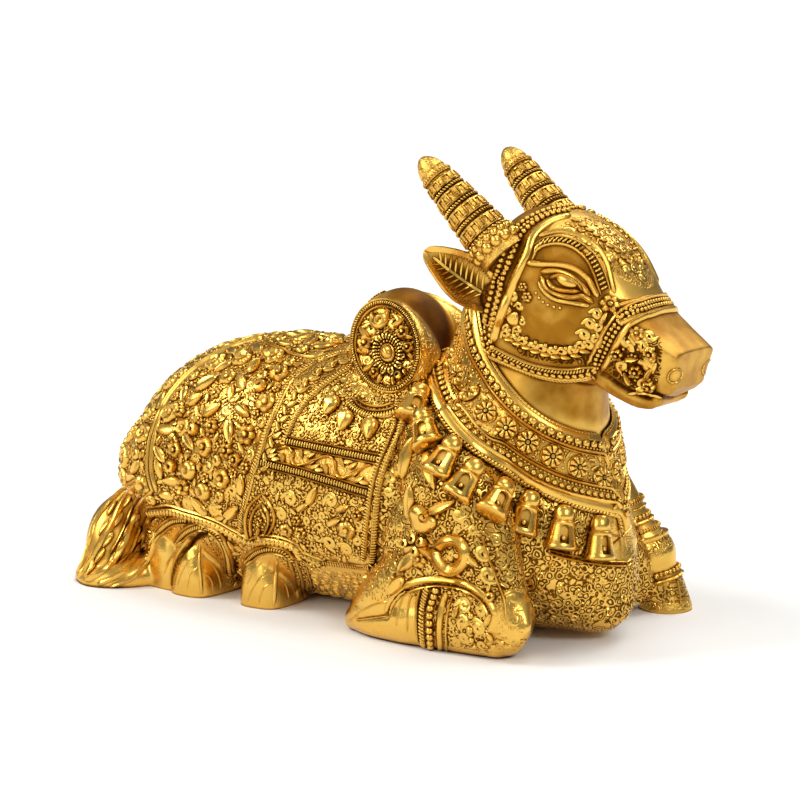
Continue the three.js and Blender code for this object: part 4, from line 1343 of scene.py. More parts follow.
def horn_form(s):
    root, tip = np.array((47.6, 19.8 * s, 118.6)), np.array((23.6, 23 * s, 143))
    along = unit(tip - root)
    piece, _, turn, ring = ball(48, 100)
    k = (100 - ring) / 100
    h = -5 + (HORN_LENGTH + 5) * k
    wide = horn_reach(h)
    # A sunk line at each end of every band, and each band swells a little.
    for start, end in HORN_BANDS:
        for line in (start, end):
            wide = wide - 0.42 * np.exp(-((h - line) / 0.24) ** 2)
        wide = wide + 0.22 * np.clip(1 - ((h - (start + end) / 2) / (end - start) * 2) ** 2, 0, 1)
    wide = wide + 0.7 * np.exp(-((h - 1.0) / 1.6) ** 2)
    round_tip = np.clip((HORN_LENGTH - h) / 6, 0, 1)
    wide = wide * np.sqrt(1 - (1 - round_tip) ** 2) ** 1.1
    wide = np.where((k < 0.005) | (k > 0.995), 0, wide)
    side = unit(np.cross(along, X))
    up = np.cross(side, along)
    where = root + np.outer(h, along) + np.outer(np.cos(turn) * wide, side)
    move_points(piece, where + np.outer(np.sin(turn) * wide, up))
    return piece, root, along, side, up


# Half widths of an ear, in mm, and how far along it each one lies.
EAR_SHARES = (-0.15, 0.1, 0.25, 0.4, 0.55, 0.7, 0.83, 0.93, 1)
EAR_WIDTHS = (3.4, 5.4, 6.9, 7.4, 6.8, 5.3, 3.6, 1.9, 0)


def ear_form(s):
    root = np.array((47, 20.0 * s, 102.5))
    tip = root + unit((-15, 18 * s, 17)) * 26
    along = tip - root
    face = np.array((0.75, 0.55 * s, 0.1))
    face = unit(face - along * (face @ along) / (along @ along))
    side = unit(np.cross(along, face))
    piece, _, turn, ring = ball(48, 48)
    k = (48 - ring) / 48
    share = -0.15 + 1.15 * k
    wide = np.interp(share, EAR_SHARES, EAR_WIDTHS)
    wide = np.where(k < 0.01, 0, wide)
    v = np.cos(turn)
    front = np.sin(turn) > 0
    hollow = np.interp(share, (-0.1, 0.12, 0.3, 0.6, 0.85, 1), (0, 0.5, 1, 1, 0.5, 0))
    rim = np.clip(wide / 6, 0, 1)
    cup = (np.sin(turn) ** 2 * (1 - np.abs(v) ** 5))
    high = np.where(front, 1.3 * np.sin(turn) ** 0.5 * rim - 3.6 * hollow * cup * rim,
                    2.9 * np.sin(turn) * rim)
    # The leaf curls forward at its edges.
    high = high + 1.8 * v ** 2 * rim
    where = root + np.outer(share, along) + np.outer(v * wide, side) + np.outer(high, face)
    move_points(piece, where)
    mark(piece, "film_and_shade", np.where(front, 1.5 * hollow * np.clip(1.6 - 2 * np.abs(v), 0, 1), 0.2))
    return piece, root, along, side, face


def make_horns(dress):
    forms = [horn_form(s) for s in (-1, 1)]
    tree = tree_of(*(form[0] for form in forms))
    relief = Relief(tree)
    for _, root, along, side, up in forms:
        def lay_round(name, h, a, size, lift=0.0, upright=False):
            """Lays a shape at a distance from the root and a turn round the horn."""
            way = side * math.cos(a) + up * math.sin(a)
            hit = tree.ray_cast(Vector(root + along * h + way * 12), Vector(-way), 12)
            if hit[0] is not None:
                direction = along if upright else np.cross(way, along)
                relief.lay(name, np.array(hit[0]), np.array(hit[1]), direction, size, lift)

        def ring_of(name, h, count, size, lift=0.0):
            for i in range(count):
                lay_round(name, h, 2 * math.pi * (i + 0.5 * (int(h * 7) % 2)) / count, size, lift)
        ring_of("bead", -0.9, 13, (1.9, 1.9, 1.7), 0.5)
        ring_of("bead", 1.6, 18, (1.3, 1.2, 1.0), 0.2)
        ring_of("head_strand", 3.0, 26, (0.9, 0.9, 0.5))
        for start, end in HORN_BANDS:
            r = horn_reach(start)
            middle, tall = (start + end) / 2, end - start
            if tall < 3:
                ring_of("head_strand", middle, int(2 * math.pi * r / 0.95), (0.7, 0.7, 0.4))
                continue
            # A fret: uprights round the horn, joined by turns above and below.
            count = 2 * int(math.pi * r / 1.9)
            step = math.pi * r / count
            for i in range(count):
                lay_round("block", middle, 2 * math.pi * i / count, (tall * 0.3, 0.24, 0.42), upright=True)
                high = middle + (0.27 if i % 2 else -0.27) * tall
                lay_round("block", high, 2 * math.pi * (i + 0.5) / count, (step, 0.24, 0.42))
    horns = join([form[0] for form in forms], "horns")
    relief.piece("horn_chasing", chased(dress))
    # The horns have kept a brown film, with faint tool marks in it.
    mark(horns, "film_and_shade", np.full(len(horns.data.vertices), 0.4))
    mark(horns, "chasing", np.full(len(horns.data.vertices), 0.25))
    return finish_piece(horns, polished(dress))


def make_ears(dress):
    forms = [ear_form(s) for s in (-1, 1)]
    tree = tree_of(*(form[0] for form in forms))
    relief = Relief(tree)
    for _, root, along, side, face in forms:
        def ear_line(stations):
            """A line on the front of the ear through shares of its length and half width."""
            line = []
            for share, v in stations:
                wide = np.interp(share, EAR_SHARES, EAR_WIDTHS)
                before = root + along * share + side * v * wide + face * 4
                hit = tree.ray_cast(Vector(before), Vector(-face), 9)
                if hit[0] is not None:
                    line.append(np.array(hit[0]))
            return line
        k = np.linspace(0.02, 0.98, 24)
        for sign in (-1, 1):
            relief.ridge(ear_line([(share, 0.9 * sign) for share in k]), 1.8, 1.0)
            rim = ear_line([(share, 0.74 * sign) for share in k[:-2]])
            relief.row("ear_strand", rim, 0.9, (0.75, 0.75, 0.5), lift=0.1, flip=sign)
        relief.ridge(ear_line([(share, 0.0) for share in np.linspace(0.12, 0.86, 16)]), 0.8, 0.5)
        for i in range(9):
            share = 0.14 + i * 0.075
            for sign in (-1, 1):
                vein = ear_line([(share + 0.11 * t, sign * (0.08 + 0.62 * t)) for t in np.linspace(0, 1, 8)])
                if len(vein) > 3:
                    relief.ridge(vein, 0.5, 0.4, pitch=0.8)
    ears = join([form[0] for form in forms], "ears")
    relief.piece("ear_chasing", chased(dress))
    return finish_piece(ears, polished(dress))


# Saddle, rump, legs and chest

def over_back(line, x_top):
    """Carries a line from the near side on to the middle of the back."""
    hit = TREES["body"].ray_cast(Vector((x_top, 0, 200)), Vector((0, 0, -1)))[0]
    return np.vstack((line, np.array(hit)[None]))


REAR_OUTER = [(243, 545), (241, 528), (244, 510), (249, 490), (254, 470), (260, 455), (267, 430), (276, 410),
              (287, 387), (300, 372), (318, 361), (336, 354), (348, 352)]
REAR_INNER = [(285, 440), (290, 428), (297, 414), (307, 401), (320, 388), (336, 376), (350, 368)]
BAND_UPPER = [(286, 441), (300, 444), (315, 447), (330, 450), (350, 454), (365, 457), (381, 460)]
BAND_LOWER = [(260, 462), (280, 467), (300, 472), (320, 478), (340, 484), (355, 489), (370, 493)]
FRONT_OUTER = [(372, 565), (374, 535), (376, 510), (378, 492), (382, 474), (387, 460), (394, 444), (400, 430),
               (404, 414), (406, 402)]
FRONT_INNER = [(364, 560), (365, 540), (367, 518), (370, 497), (374, 478), (380, 460), (387, 444), (393, 428),
               (397, 412), (398, 402)]
HEM = [(325, 562), (340, 564), (357, 566), (370, 567)]
THIGH_HEM = [(150, 512), (170, 511), (185, 515), (202, 520), (220, 527), (235, 535), (250, 541), (262, 540),
             (275, 541), (290, 545), (302, 552), (315, 560), (325, 565)]
RUMP_EDGE = [(157, 492), (152, 472), (152, 455), (154, 440), (159, 422), (165, 407), (172, 395), (181, 384),
             (191, 374), (203, 364), (217, 355), (231, 348), (246, 343), (262, 339)]
SPINE_LEAF = [(262, 341), (276, 347), (290, 353), (304, 357), (318, 358)]
REAR_MIDDLE = [(264, 467), (272, 447), (279, 428), (288, 408), (298, 394), (311, 380), (328, 369), (343, 362)]
LEAF_FRAME = [
    [(249, 540), (246, 522), (250, 506), (262, 494)], [(262, 494), (271, 505), (275, 520), (268, 536)],
    [(252, 537), (251, 522), (255, 510), (262, 503)], [(262, 503), (268, 512), (269, 524), (264, 536)]]
CRESCENT = [(349, 402), (356, 410), (367, 415), (380, 416), (393, 413), (405, 406)]
# Ornaments of the lower cloth: pixel, shape, size and pixel of the tip.
CLOTH_ORNAMENTS = [(260, 520, "flower", 1.8, (260, 510)), (259, 531, "leaf", 2.0, (260, 524)),
    (290, 498, "scroll", 3.9, (300, 492)), (312, 496, "leaf", 4.6, (318, 484)),
    (303, 507, "leaf", 3.6, (314, 500)), (281, 514, "scroll", 3.4, (290, 517)),
    (287, 530, "bloom", 3.2, None), (301, 532, "flower", 2.8, None), (297, 520, "flower", 2.2, None),
    (331, 500, "scroll", 3.8, (336, 492)), (343, 508, "leaf", 3.6, (352, 504)),
    (334, 522, "leaf", 3.8, (344, 518)), (347, 530, "bloom", 4.2, None),
    (330, 543, "scroll", 3.8, (322, 536)), (346, 549, "scroll", 3.6, (356, 550)),
    (357, 515, "flower", 2.4, None), (320, 528, "curl", 2.6, (312, 524)),
    (357, 541, "curl", 2.6, (362, 533))]
UPPER_CLOTH = [(290, 436), (305, 402), (338, 374), (352, 366), (365, 385), (408, 402), (397, 430), (384, 455),
               (330, 448)]
LOWER_CLOTH = [(262, 466), (370, 496), (362, 560), (325, 560), (300, 548), (275, 538), (246, 538), (249, 495)]


def rope(relief, line, wide, pitch=0.95):
    """A raised band with short strokes across it."""
    relief.ridge(line, wide * 1.05, 0.8)
    relief.row("block", line, pitch, (0.24, wide * 0.46, 0.3), lift=0.75)


def make_saddle(dress):
    relief = Relief(TREES["body"])
    tree = relief.tree
    rope(relief, over_back(drawn(tree, REAR_OUTER), -14), 1.9)
    rope(relief, over_back(drawn(tree, REAR_INNER), -6), 1.9)
    for line in (BAND_UPPER, BAND_LOWER):
        relief.ridge(line, 0.8, 0.9, shift=1.4)
        rope(relief, line, 1.7)
        relief.ridge(line, 0.8, 0.9, shift=-1.4)
    for line, wide in ((FRONT_OUTER, 1.9), (FRONT_INNER, 1.5), (HEM, 1.8)):
        rope(relief, line, wide)
    # The leaf border between the two rear ropes.
    for i, (spot, tangent) in enumerate(zip(*spaced(drawn(tree, REAR_MIDDLE), 2.7))):
        spot, normal = snap(tree, spot)
        across = np.cross(normal, tangent) * (1 if i % 2 else -1)
        relief.lay("leaf", spot + across * 0.7, normal, tangent + across * 0.8, (1.9, 2.0, 0.9), 0.1, True)
    # A winding stem with leaves runs along the cross band.
    low, high = (spaced(drawn(tree, line), 1.0)[0] for line in (BAND_LOWER, BAND_UPPER))
    stem = []
    for k in np.linspace(0.03, 0.97, 60):
        a, b = at_share(low, k), at_share(high, k)
        stem.append(a + (b - a) * (0.5 + 0.3 * math.sin(k * 15)))
    relief.ridge(stem, 1.0, 1.1)
    for i in range(18):
        k = 0.05 + 0.9 * i / 17
        a, b = at_share(low, k), at_share(high, k)
        spot, normal = snap(tree, a + (b - a) * (0.5 - 0.24 * math.sin(k * 15)))
        way = X * 0.8 + (b - a) / 8 * math.cos(k * 15)
        relief.lay("leaf", spot, normal, way, (1.8, 1.9, 1.0), 0.1, True)
    # A pointed leaf frame at the lower rear corner, with a bud inside.
    for line in LEAF_FRAME:
        relief.ridge(line, 1.0, 1.1)
    for u, v, name, size, tip in CLOTH_ORNAMENTS:
        relief.put(name, (u, v), (size * 0.74, size * 0.74, 1.3), tip, 0.15)
    # Crescent strap below the medal and its three drops.
    rope(relief, CRESCENT, 1.9)
    relief.ridge(CRESCENT, 0.9, 1.0, shift=1.6)
    relief.ridge([(357, 399), (366, 405), (380, 407), (394, 403)], 0.9, 0.9)
    for u, v, tip in ((331, 406, (327, 414)), (345, 421, (342, 430)), (370, 429, (369, 439))):
        relief.put("drop", (u, v), (3.4, 3.9, 2.6), tip, 0.5)
        relief.put("bead", (u + 1, v - 10), (1.3, 1.3, 1.2), None, 0.4, False)
    fill(relief, facing(UPPER_CLOTH), [
        ("small_curl", 1.3, 260, (1.5, 1.4, 0.9), True, 0.0),
        ("granule", 0.62, 5000, (0.62, 0.62, 0.6), False, 0.0),
        ("granule", 0.42, 5000, (0.42, 0.42, 0.4), False, 0.0)], 21)
    fill(relief, facing(LOWER_CLOTH), [
        ("small_curl", 1.4, 300, (1.7, 1.5, 0.9), True, 0.0),
        ("small_leaf", 1.1, 300, (1.6, 1.6, 0.9), True, 0.0),
        ("granule", 0.6, 6000, (0.6, 0.6, 0.6), False, 0.0),
        ("granule", 0.42, 5000, (0.42, 0.42, 0.4), False, 0.0)], 22)
    relief.mirror()
    return relief.piece("saddle_chasing", chased(dress))


# Flowers of the rump, as pixel and size, and its leaves, with the pixel of the tip.
RUMP_BLOOMS = [(280, 374, 3.3), (261, 387, 2.4), (247, 435, 3.4), (205, 447, 3.3), (190, 470, 3.2),
    (184, 487, 2.9), (222, 478, 3.3), (204, 491, 3.0), (227, 451, 2.5), (176, 450, 2.6), (172, 466, 2.2),
    (213, 427, 2.3), (236, 460, 2.2), (195, 430, 2.0), (182, 412, 2.0)]
RUMP_LEAVES = [(207, 383, (217, 377), 4.4), (243, 411, (250, 417), 3.6), (212, 410, (222, 404), 3.8),
    (255, 366, (262, 358), 3.4), (232, 512, (240, 505), 3.8), (196, 400, (204, 394), 3.2)]


def make_rump(dress):
    relief = Relief(TREES["body"])
    relief.ridge(RUMP_EDGE, 1.7, 1.0)
    relief.ridge(RUMP_EDGE, 1.5, 0.9, shift=1.9)
    relief.ridge(SPINE_LEAF, 1.2, 0.9)
    relief.ridge(THIGH_HEM, 2.6, 1.5)
    relief.row("strand", THIGH_HEM, 1.7, (1.5, 1.4, 0.5), lift=1.15)
    relief.ridge(THIGH_HEM, 1.0, 0.9, shift=2.2)
    for n, (u, v, size) in enumerate(RUMP_BLOOMS):
        relief.put(("bloom", "bud", "flower")[n % 3], (u, v), (size, size, 1.9), None, 0.3)
    for u, v, tip, size in RUMP_LEAVES:
        relief.put("leaf", (u, v), (size, size * 1.15, 1.8), tip, 0.2)
    spots = GROUND["spots"]
    x, y, z = spots.T
    rear = np.interp(z, [p[1] for p in CLOTH_REAR[::-1]], [p[0] for p in CLOTH_REAR[::-1]])
    low = np.interp(x, (-100, -75, -59, -45, -30), (34, 30, 28.5, 27.5, 26.5))
    hind = np.interp(z, (20, 28, 36, 44, 54, 62, 70, 78, 84), (-88, -93, -95, -94, -89, -82, -72, -56, -36))
    on_rump = (x < rear - 2.5) & (y < 0.2) & (z > low) & (x > -101)
    fill(relief, np.where(on_rump & (x > hind))[0], [
        ("bloom", 3.2, 160, (3.6, 3.6, 1.5), True, 0.2),
        ("leaf", 2.3, 360, (3.7, 3.8, 1.2), True, 0.1),
        ("bud", 2.0, 300, (2.2, 2.0, 1.2), False, 0.1),
        ("curl", 1.8, 700, (2.4, 2.2, 1.0), True, 0.0),
        ("flower", 1.6, 400, (1.8, 1.8, 1.0), False, 0.1),
        ("small_leaf", 1.0, 1400, (1.7, 1.8, 0.9), False, 0.0),
        ("small_curl", 1.0, 1200, (1.2, 1.1, 0.7), False, 0.0),
        ("granule", 0.5, 4500, (0.55, 0.55, 0.5), False, 0.0)], 31)
    # Behind the piping the ground is flatter: leaves and small curls.
    fill(relief, np.where(on_rump & (x <= hind))[0], [
        ("leaf", 1.9, 500, (2.9, 2.8, 0.8), True, 0.0),
        ("small_curl", 1.4, 800, (1.7, 1.6, 0.6), True, 0.0),
        ("small_leaf", 1.0, 1400, (1.5, 1.5, 0.6), False, 0.0),
        ("granule", 0.5, 3000, (0.5, 0.5, 0.4), False, 0.0)], 32)
    relief.mirror()
    return relief.piece("rump_chasing", chased(dress))


def make_medals(dress):
    relief = Relief(TREES["body"])
    for s in (-1, 1):
        middle, out, rise, ahead = medal_axes(s)

        # The wheel stands below the middle of the medal, and the rings round it shift with it.
        def heart(share):
            return middle - rise * 5.3 * (1 - max(share, 0.36))

        def on_medal(share, a):
            along, up = share * MEDAL_LONG * math.cos(a), share * MEDAL_HIGH * math.sin(a)
            return heart(share) + ahead * along + rise * up

        def ring(share):
            return [on_medal(share, a) for a in np.linspace(0, 2 * math.pi, 90)]
        relief.ridge(ring(1.0), 0.9, 0.8)
        rope(relief, ring(0.94), 1.0, 0.8)
        relief.ridge(ring(0.87), 0.8, 1.0)
        # A toothed wheel and a domed boss with a notch.
        relief.row("block", ring(0.37), 1.25, (0.42, 1.1, 1.2), lift=0.4)
        relief.row("bead", ring(0.26), 1.1, (0.5, 0.5, 0.9), lift=0.2)
        relief.lay("boss", heart(0), out, ahead, (2.5, 3.3, 3.2))
        # Blossoms, berries and curls fill the ring, larger above the wheel, with leaves between them.
        for i in range(11):
            a = 2 * math.pi * (i + 0.35) / 11
            wide = 2.25 + 0.75 * math.sin(a)
            spot = on_medal(0.63, a)
            name = ("bloom", "curl", "bud", "curl", "bloom", "scroll")[i % 6]
            relief.lay(name, spot, out, spot - middle, (wide, wide, 1.9), 0.1)
            relief.lay("leaf", on_medal(0.7, a + 0.29), out, spot - middle, (wide, wide, 1.5), 0.1)
            relief.lay("bud", on_medal(0.47, a + 0.29), out, spot - middle, (0.9, 0.9, 1.2), 0.1)
        random = np.random.default_rng(41)
        for _ in range(300):
            spot = on_medal(random.uniform(0.42, 0.86), random.uniform(0, 2 * math.pi))
            relief.lay("granule", spot, out, X, (0.5, 0.5, 0.7), 0.1)
    return relief.piece("hump_medals", chased(dress))


CHEST_RINGS = [(540, 562), (560, 565), (600, 569), (634, 570), (640, 600), (620, 622), (540, 622), (530, 600)]


def make_chest(dress):
    relief = Relief(TREES["body"])
    for line in ([(548, 549), (565, 554), (585, 558), (605, 561), (628, 562)],
                 [(548, 553), (565, 558), (585, 562), (605, 565), (628, 566)]):
        relief.ridge(line, 0.8, 0.8)
    for line in ([(603, 514), (606, 536), (608, 557)], [(618, 517), (620, 538), (622, 560)],
                 [(604, 534), (618, 536), (633, 538)]):
        relief.ridge(line, 0.6, 0.4)
    ringed = facing(CHEST_RINGS)
    leafed = facing([(446, 492), (470, 505), (500, 525), (540, 545), (604, 560), (600, 511),
                     (590, 509), (560, 500), (530, 486), (500, 467), (475, 447), (455, 440), (440, 470)])
    fill(relief, ringed, [("ringlet", 2.3, 300, (1.25, 1.25, 0.3), False, 0.0)], 51)
    fill(relief, leafed, [("small_curl", 1.2, 500, (1.4, 1.3, 0.4), True, 0.0),
                          ("small_leaf", 0.9, 700, (1.3, 1.3, 0.6), False, 0.0),
                          ("granule", 0.5, 2500, (0.45, 0.45, 0.4), False, 0.0)], 52)
    relief.mirror()
    return relief.piece("chest_chasing", chased(dress))


KNEECAP = [(386, 612), (393, 598), (406, 586), (425, 580), (447, 580), (470, 586), (487, 599), (496, 616)]
LOOP = [(437, 548), (446, 541), (457, 541), (464, 549), (464, 560), (457, 568), (447, 570), (439, 563),
        (436, 555), (437, 548)]
# Ornaments of the shin and of the shoulder: pixel, shape, size and pixel of the tip.
SHIN_ORNAMENTS = [(464, 606, "scroll", 2.9, (472, 600)), (480, 610, "curl", 2.4, (486, 602)),
    (463, 622, "curl", 2.4, (456, 628)), (478, 628, "scroll", 2.7, (486, 634)),
    (464, 638, "curl", 2.2, (472, 644)), (482, 645, "small_curl", 2.0, (490, 650)),
    (471, 616, "bead", 1.1, None), (470, 630, "bead", 1.2, None), (472, 640, "bead", 0.9, None),
    (488, 620, "leaf", 2.2, (492, 612)), (456, 612, "leaf", 2.0, (460, 604)),
    (490, 638, "leaf", 2.0, (495, 645))]
SHOULDER_ORNAMENTS = [(424, 520, "drop", (5.2, 6.0, 3.2), (437, 523)),
    (411, 503, "leaf", (5.6, 4.6, 2.0), (411, 492)), (441, 507, "leaf", (4.8, 3.8, 2.0), (450, 503)),
    (407, 458, "leaf", (6.6, 5.0, 2.0), (411, 446)), (399, 470, "bud", (2.4, 2.4, 1.6), None),
    (428, 516, "ringlet", (2.0, 2.0, 2.6), None), (428, 516, "bead", (0.8, 0.8, 2.6), None),
    (430, 470, "leaf", (6.0, 5.4, 1.8), (434, 486)), (408, 562, "leaf", (4.6, 4.8, 1.6), (398, 572)),
    (396, 586, "leaf", (4.4, 4.6, 1.6), (388, 594)), (470, 560, "leaf", (3.4, 3.2, 1.3), (478, 566)),
    (483, 553, "curl", (2.8, 2.6, 1.2), (490, 560)), (488, 575, "curl", (3.0, 2.6, 1.2), (494, 584)),
    (490, 597, "bud", (1.6, 1.6, 1.2), None), (420, 560, "flower", (2.6, 2.6, 1.3), None)]


def make_forelegs(dress):
    relief = Relief(TREES["body"])
    tree = relief.tree
    # Folded leg: the cuff above the hoof, the knee medallion and the long seams.
    cuff = [(427, 588), (423, 606), (422, 626), (424, 644)]
    relief.ridge([(420, 588), (417, 606), (417, 626), (419, 642)], 1.1, 0.9)
    relief.ridge(cuff, 2.2, 0.7)
    relief.row("strand", cuff, 1.1, (1.2, 1.2, 0.6), 0.6)
    relief.row("bead", [(436, 590), (431, 608), (430, 628), (431, 646)], 2.1, (1.15, 1.25, 1.2), 0.3)
    relief.ridge([(446, 592), (441, 610), (439, 630), (440, 649)], 2.3, 1.1)
    relief.ridge([(453, 594), (448, 612), (446, 632), (447, 651)], 0.8, 0.7)
    relief.ridge(KNEECAP, 2.2, 1.0)
    relief.ridge(KNEECAP, 0.8, 0.8, shift=-2.0)
    for u, v, name, size, tip in SHIN_ORNAMENTS:
        relief.put(name, (u, v), (size, size, 1.0), tip, 0.1, name != "bead")
    # The looped ring, the pendant with two long ears above it, and the leaf drop in front of the saddle.
    relief.ridge(LOOP, 3.9, 2.2, pitch=0.7)
    relief.ridge(LOOP, 1.0, 2.7, pitch=0.7)
    relief.ridge([(405, 551), (416, 549), (426, 552), (437, 560)], 3.0, 1.9)
    for pixel in ((408, 545), (416, 541), (424, 544), (418, 553)):
        relief.put("bud", pixel, (1.9, 1.9, 1.9), None, 0.5, False)
    for u, v, name, size, tip in SHOULDER_ORNAMENTS:
        relief.put(name, (u, v), size, tip, 0.3)
    for line in ([(349, 622), (362, 611), (376, 604), (390, 601)], [(356, 620), (372, 618), (388, 616)],
                 [(404, 596), (398, 610), (396, 626)], [(412, 592), (408, 608), (407, 632)]):
        relief.ridge(line, 0.6, 0.35)
    relief.ridge([(482, 536), (488, 556), (496, 578), (504, 600), (506, 620)], 0.9, 0.8)
    leg = facing([(383, 500), (392, 470), (400, 430), (412, 420), (430, 440), (446, 490), (480, 520),
                  (500, 545), (520, 600), (526, 640), (515, 652), (450, 646), (446, 592), (420, 582),
                  (400, 590), (385, 604), (360, 600), (375, 560)])
    fill(relief, leg, [("curl", 1.7, 320, (2.0, 1.8, 0.5), True, 0.0),
                       ("small_curl", 1.2, 400, (1.4, 1.3, 0.45), True, 0.0),
                       ("small_leaf", 1.0, 700, (1.4, 1.4, 0.6), False, 0.0),
                       ("granule", 0.45, 3500, (0.45, 0.45, 0.4), False, 0.0)], 61)
    # Raised leg: rings with strokes between them, a beaded ring above the hoof.
    axis = unit((0.2, 0.12, -1))

    def leg_ring(where):
        """A closed ring round the shank, as far out as its skin mostly lies."""
        where = np.array(where, float)
        side = unit(np.cross(axis, Y))
        ahead = np.cross(side, axis)
        ways = [side * math.cos(a) + ahead * math.sin(a) for a in np.linspace(0, 2 * math.pi, 41)]
        hits = [tree.ray_cast(Vector(where), Vector(way), 12) for way in ways]
        reach = np.array([hit[3] if hit[0] is not None else 99.0 for hit in hits])
        usual = np.median(reach[reach < 99])
        return where + np.array(ways) * np.clip(reach, usual * 0.9, usual * 1.06)[:, None]
    for where, kind, wide, high in (
            ((58.9, 35.9, 33.5), "block", 1.5, 0.9), ((60.0, 36.5, 31.3), None, 0.7, 0.7),
            ((61.2, 37.1, 28.9), "bead", 0.7, 0.4), ((62.0, 37.6, 27.3), None, 1.4, 1.0),
            ((63.4, 38.4, 24.9), "block", 1.2, 0.7), ((64.8, 39.2, 22.3), None, 1.6, 1.1),
            ((69.6, 41.5, 11.9), "bead", 1.0, 0.7), ((70.3, 41.8, 9.8), None, 1.3, 1.1)):
        line = leg_ring(where)
        relief.ridge(line, wide * 1.15, high)
        if kind:
            size = (0.26, wide * 0.5, 0.35) if kind == "block" else (0.7, 0.7, 0.6)
            relief.row(kind, line, 0.9 if kind == "block" else 1.5, size, lift=high - 0.1)
    relief.ridge([(677, 578), (679, 590), (681, 605)], 0.8, 0.5)
    # The far shoulder carries the same scrolls, plainer.
    spots, outs = GROUND["spots"], GROUND["outs"]
    x, y, z = spots.T
    front = np.interp(z, [p[1] for p in CLOTH_FRONT], [p[0] for p in CLOTH_FRONT])
    far = np.where((y > 12) & (x > front + 3) & (x < 50) & (z > 26) & (z < 74) & (outs[:, 1] > 0.1))[0]
    fill(relief, far, [("curl", 2.1, 300, (2.5, 2.3, 1.0), True, 0.0),
                       ("leaf", 2.0, 300, (2.8, 2.8, 1.1), True, 0.0),
                       ("bead", 0.8, 900, (0.85, 0.85, 0.8), False, 0.0),
                       ("granule", 0.5, 3000, (0.5, 0.5, 0.5), False, 0.0)], 62)
    return relief.piece("foreleg_chasing", chased(dress))


# Strokes on the hooves and locks of the tail, as lines of pixels with their width and height.
HOOF_LINES = [
    ([(200, 543), (199, 560), (201, 578), (202, 594)], 1.2, 0.6),
    ([(277, 560), (276, 575), (275, 592), (274, 606)], 1.5, 0.7),
    ([(200, 552), (190, 560), (182, 572), (177, 586)], 0.45, 0.22),
    ([(199, 566), (191, 574), (187, 588)], 0.45, 0.22),
    ([(202, 556), (213, 566), (219, 578), (221, 590)], 0.45, 0.22),
    ([(203, 572), (211, 580), (213, 592)], 0.45, 0.22),
    ([(178, 548), (170, 560), (164, 574)], 0.45, 0.22), ([(183, 543), (176, 549), (165, 566)], 0.45, 0.22),
    ([(276, 572), (262, 578), (252, 590), (247, 603)], 0.45, 0.22),
    ([(274, 582), (264, 588), (258, 604)], 0.45, 0.22),
    ([(262, 562), (254, 572), (247, 584)], 0.45, 0.22), ([(270, 560), (266, 570), (256, 582)], 0.45, 0.22),
    ([(279, 578), (286, 586), (289, 600)], 0.45, 0.22),
    ([(288, 556), (294, 574), (297, 600)], 0.9, 0.8), ([(296, 560), (302, 578), (304, 598)], 0.9, 0.8),
    ([(306, 566), (311, 582), (312, 598)], 0.7, 0.6)]
HOOF_STRAPS = [
    [(176, 545), (185, 533), (199, 527), (213, 531), (222, 541), (228, 556), (230, 574)],
    [(150, 545), (160, 531), (172, 522), (186, 520)],
    [(246, 562), (257, 552), (271, 549), (284, 552), (292, 560)]]
TAIL_LOCKS = [
    ([(146, 478), (131, 490), (120, 506), (112, 524), (101, 542), (91, 560), (79, 577)], 2.6, 1.2),
    ([(152, 490), (141, 504), (133, 520), (127, 538), (118, 556), (104, 570), (86, 580)], 2.4, 1.2),
    ([(138, 478), (122, 490), (106, 506), (95, 522), (90, 540), (84, 560), (78, 572)], 1.8, 1.0),
    ([(152, 512), (146, 528), (141, 546), (132, 562), (118, 575), (98, 584)], 2.0, 1.0),
    ([(156, 530), (153, 548), (146, 564), (132, 578), (110, 587)], 1.8, 0.9),
    ([(126, 492), (116, 512), (104, 532), (97, 550)], 1.0, 0.8),
    ([(142, 492), (130, 512), (121, 534), (110, 554)], 1.0, 0.8),
    ([(148, 510), (138, 532), (131, 550), (118, 566)], 1.0, 0.8)]
# Short flame strokes between the locks.
FLAMES = [(128, 500), (118, 520), (108, 540), (100, 556), (136, 518), (127, 530), (120, 546), (112, 562),
          (142, 535), (136, 550), (127, 566), (92, 568), (104, 528), (112, 508)]
SHANKS = [(150, 522), (175, 517), (205, 526), (250, 547), (300, 556), (302, 590), (290, 556), (270, 545),
          (250, 552), (238, 575), (235, 592), (230, 560), (220, 536), (200, 524), (178, 528), (158, 540),
          (150, 560), (140, 545)]
BELLY = [(296, 560), (330, 571), (367, 575), (352, 598), (340, 606), (308, 602), (300, 580)]


def make_hooves(dress):
    relief = Relief(TREES["body"])
    for line, wide, high in HOOF_LINES:
        relief.ridge(line, wide, high, pitch=0.8)
    for line in HOOF_STRAPS:
        relief.ridge(line, 1.1, 1.0, shift=1.2)
        relief.row("strand", line, 1.0, (1.0, 1.0, 0.6), lift=0.2)
        relief.ridge(line, 0.9, 0.9, shift=-1.3)
    for line, wide, high in TAIL_LOCKS:
        relief.ridge(line, wide, high)
    for u, v in FLAMES:
        relief.put("leaf", (u, v), (3.0, 2.2, 1.0), (u - 5, v + 8), 0.2)
    # Leaves, ringlets and grains on the shanks between the hooves and the hem, and on the belly.
    fill(relief, facing(SHANKS), [
        ("small_leaf", 1.1, 400, (1.7, 1.6, 0.7), False, 0.0),
        ("ringlet", 1.0, 400, (0.95, 0.95, 0.35), False, 0.0),
        ("granule", 0.5, 1500, (0.5, 0.5, 0.4), False, 0.0)], 71)
    fill(relief, facing(BELLY), [
        ("ringlet", 1.4, 400, (1.35, 1.35, 0.4), False, 0.0),
        ("small_curl", 1.2, 300, (1.4, 1.3, 0.5), False, 0.0),
        ("granule", 0.5, 1500, (0.5, 0.5, 0.35), False, 0.0)], 72)
    return relief.piece("hoof_and_tail_chasing", chased(dress))


# Add-on classes

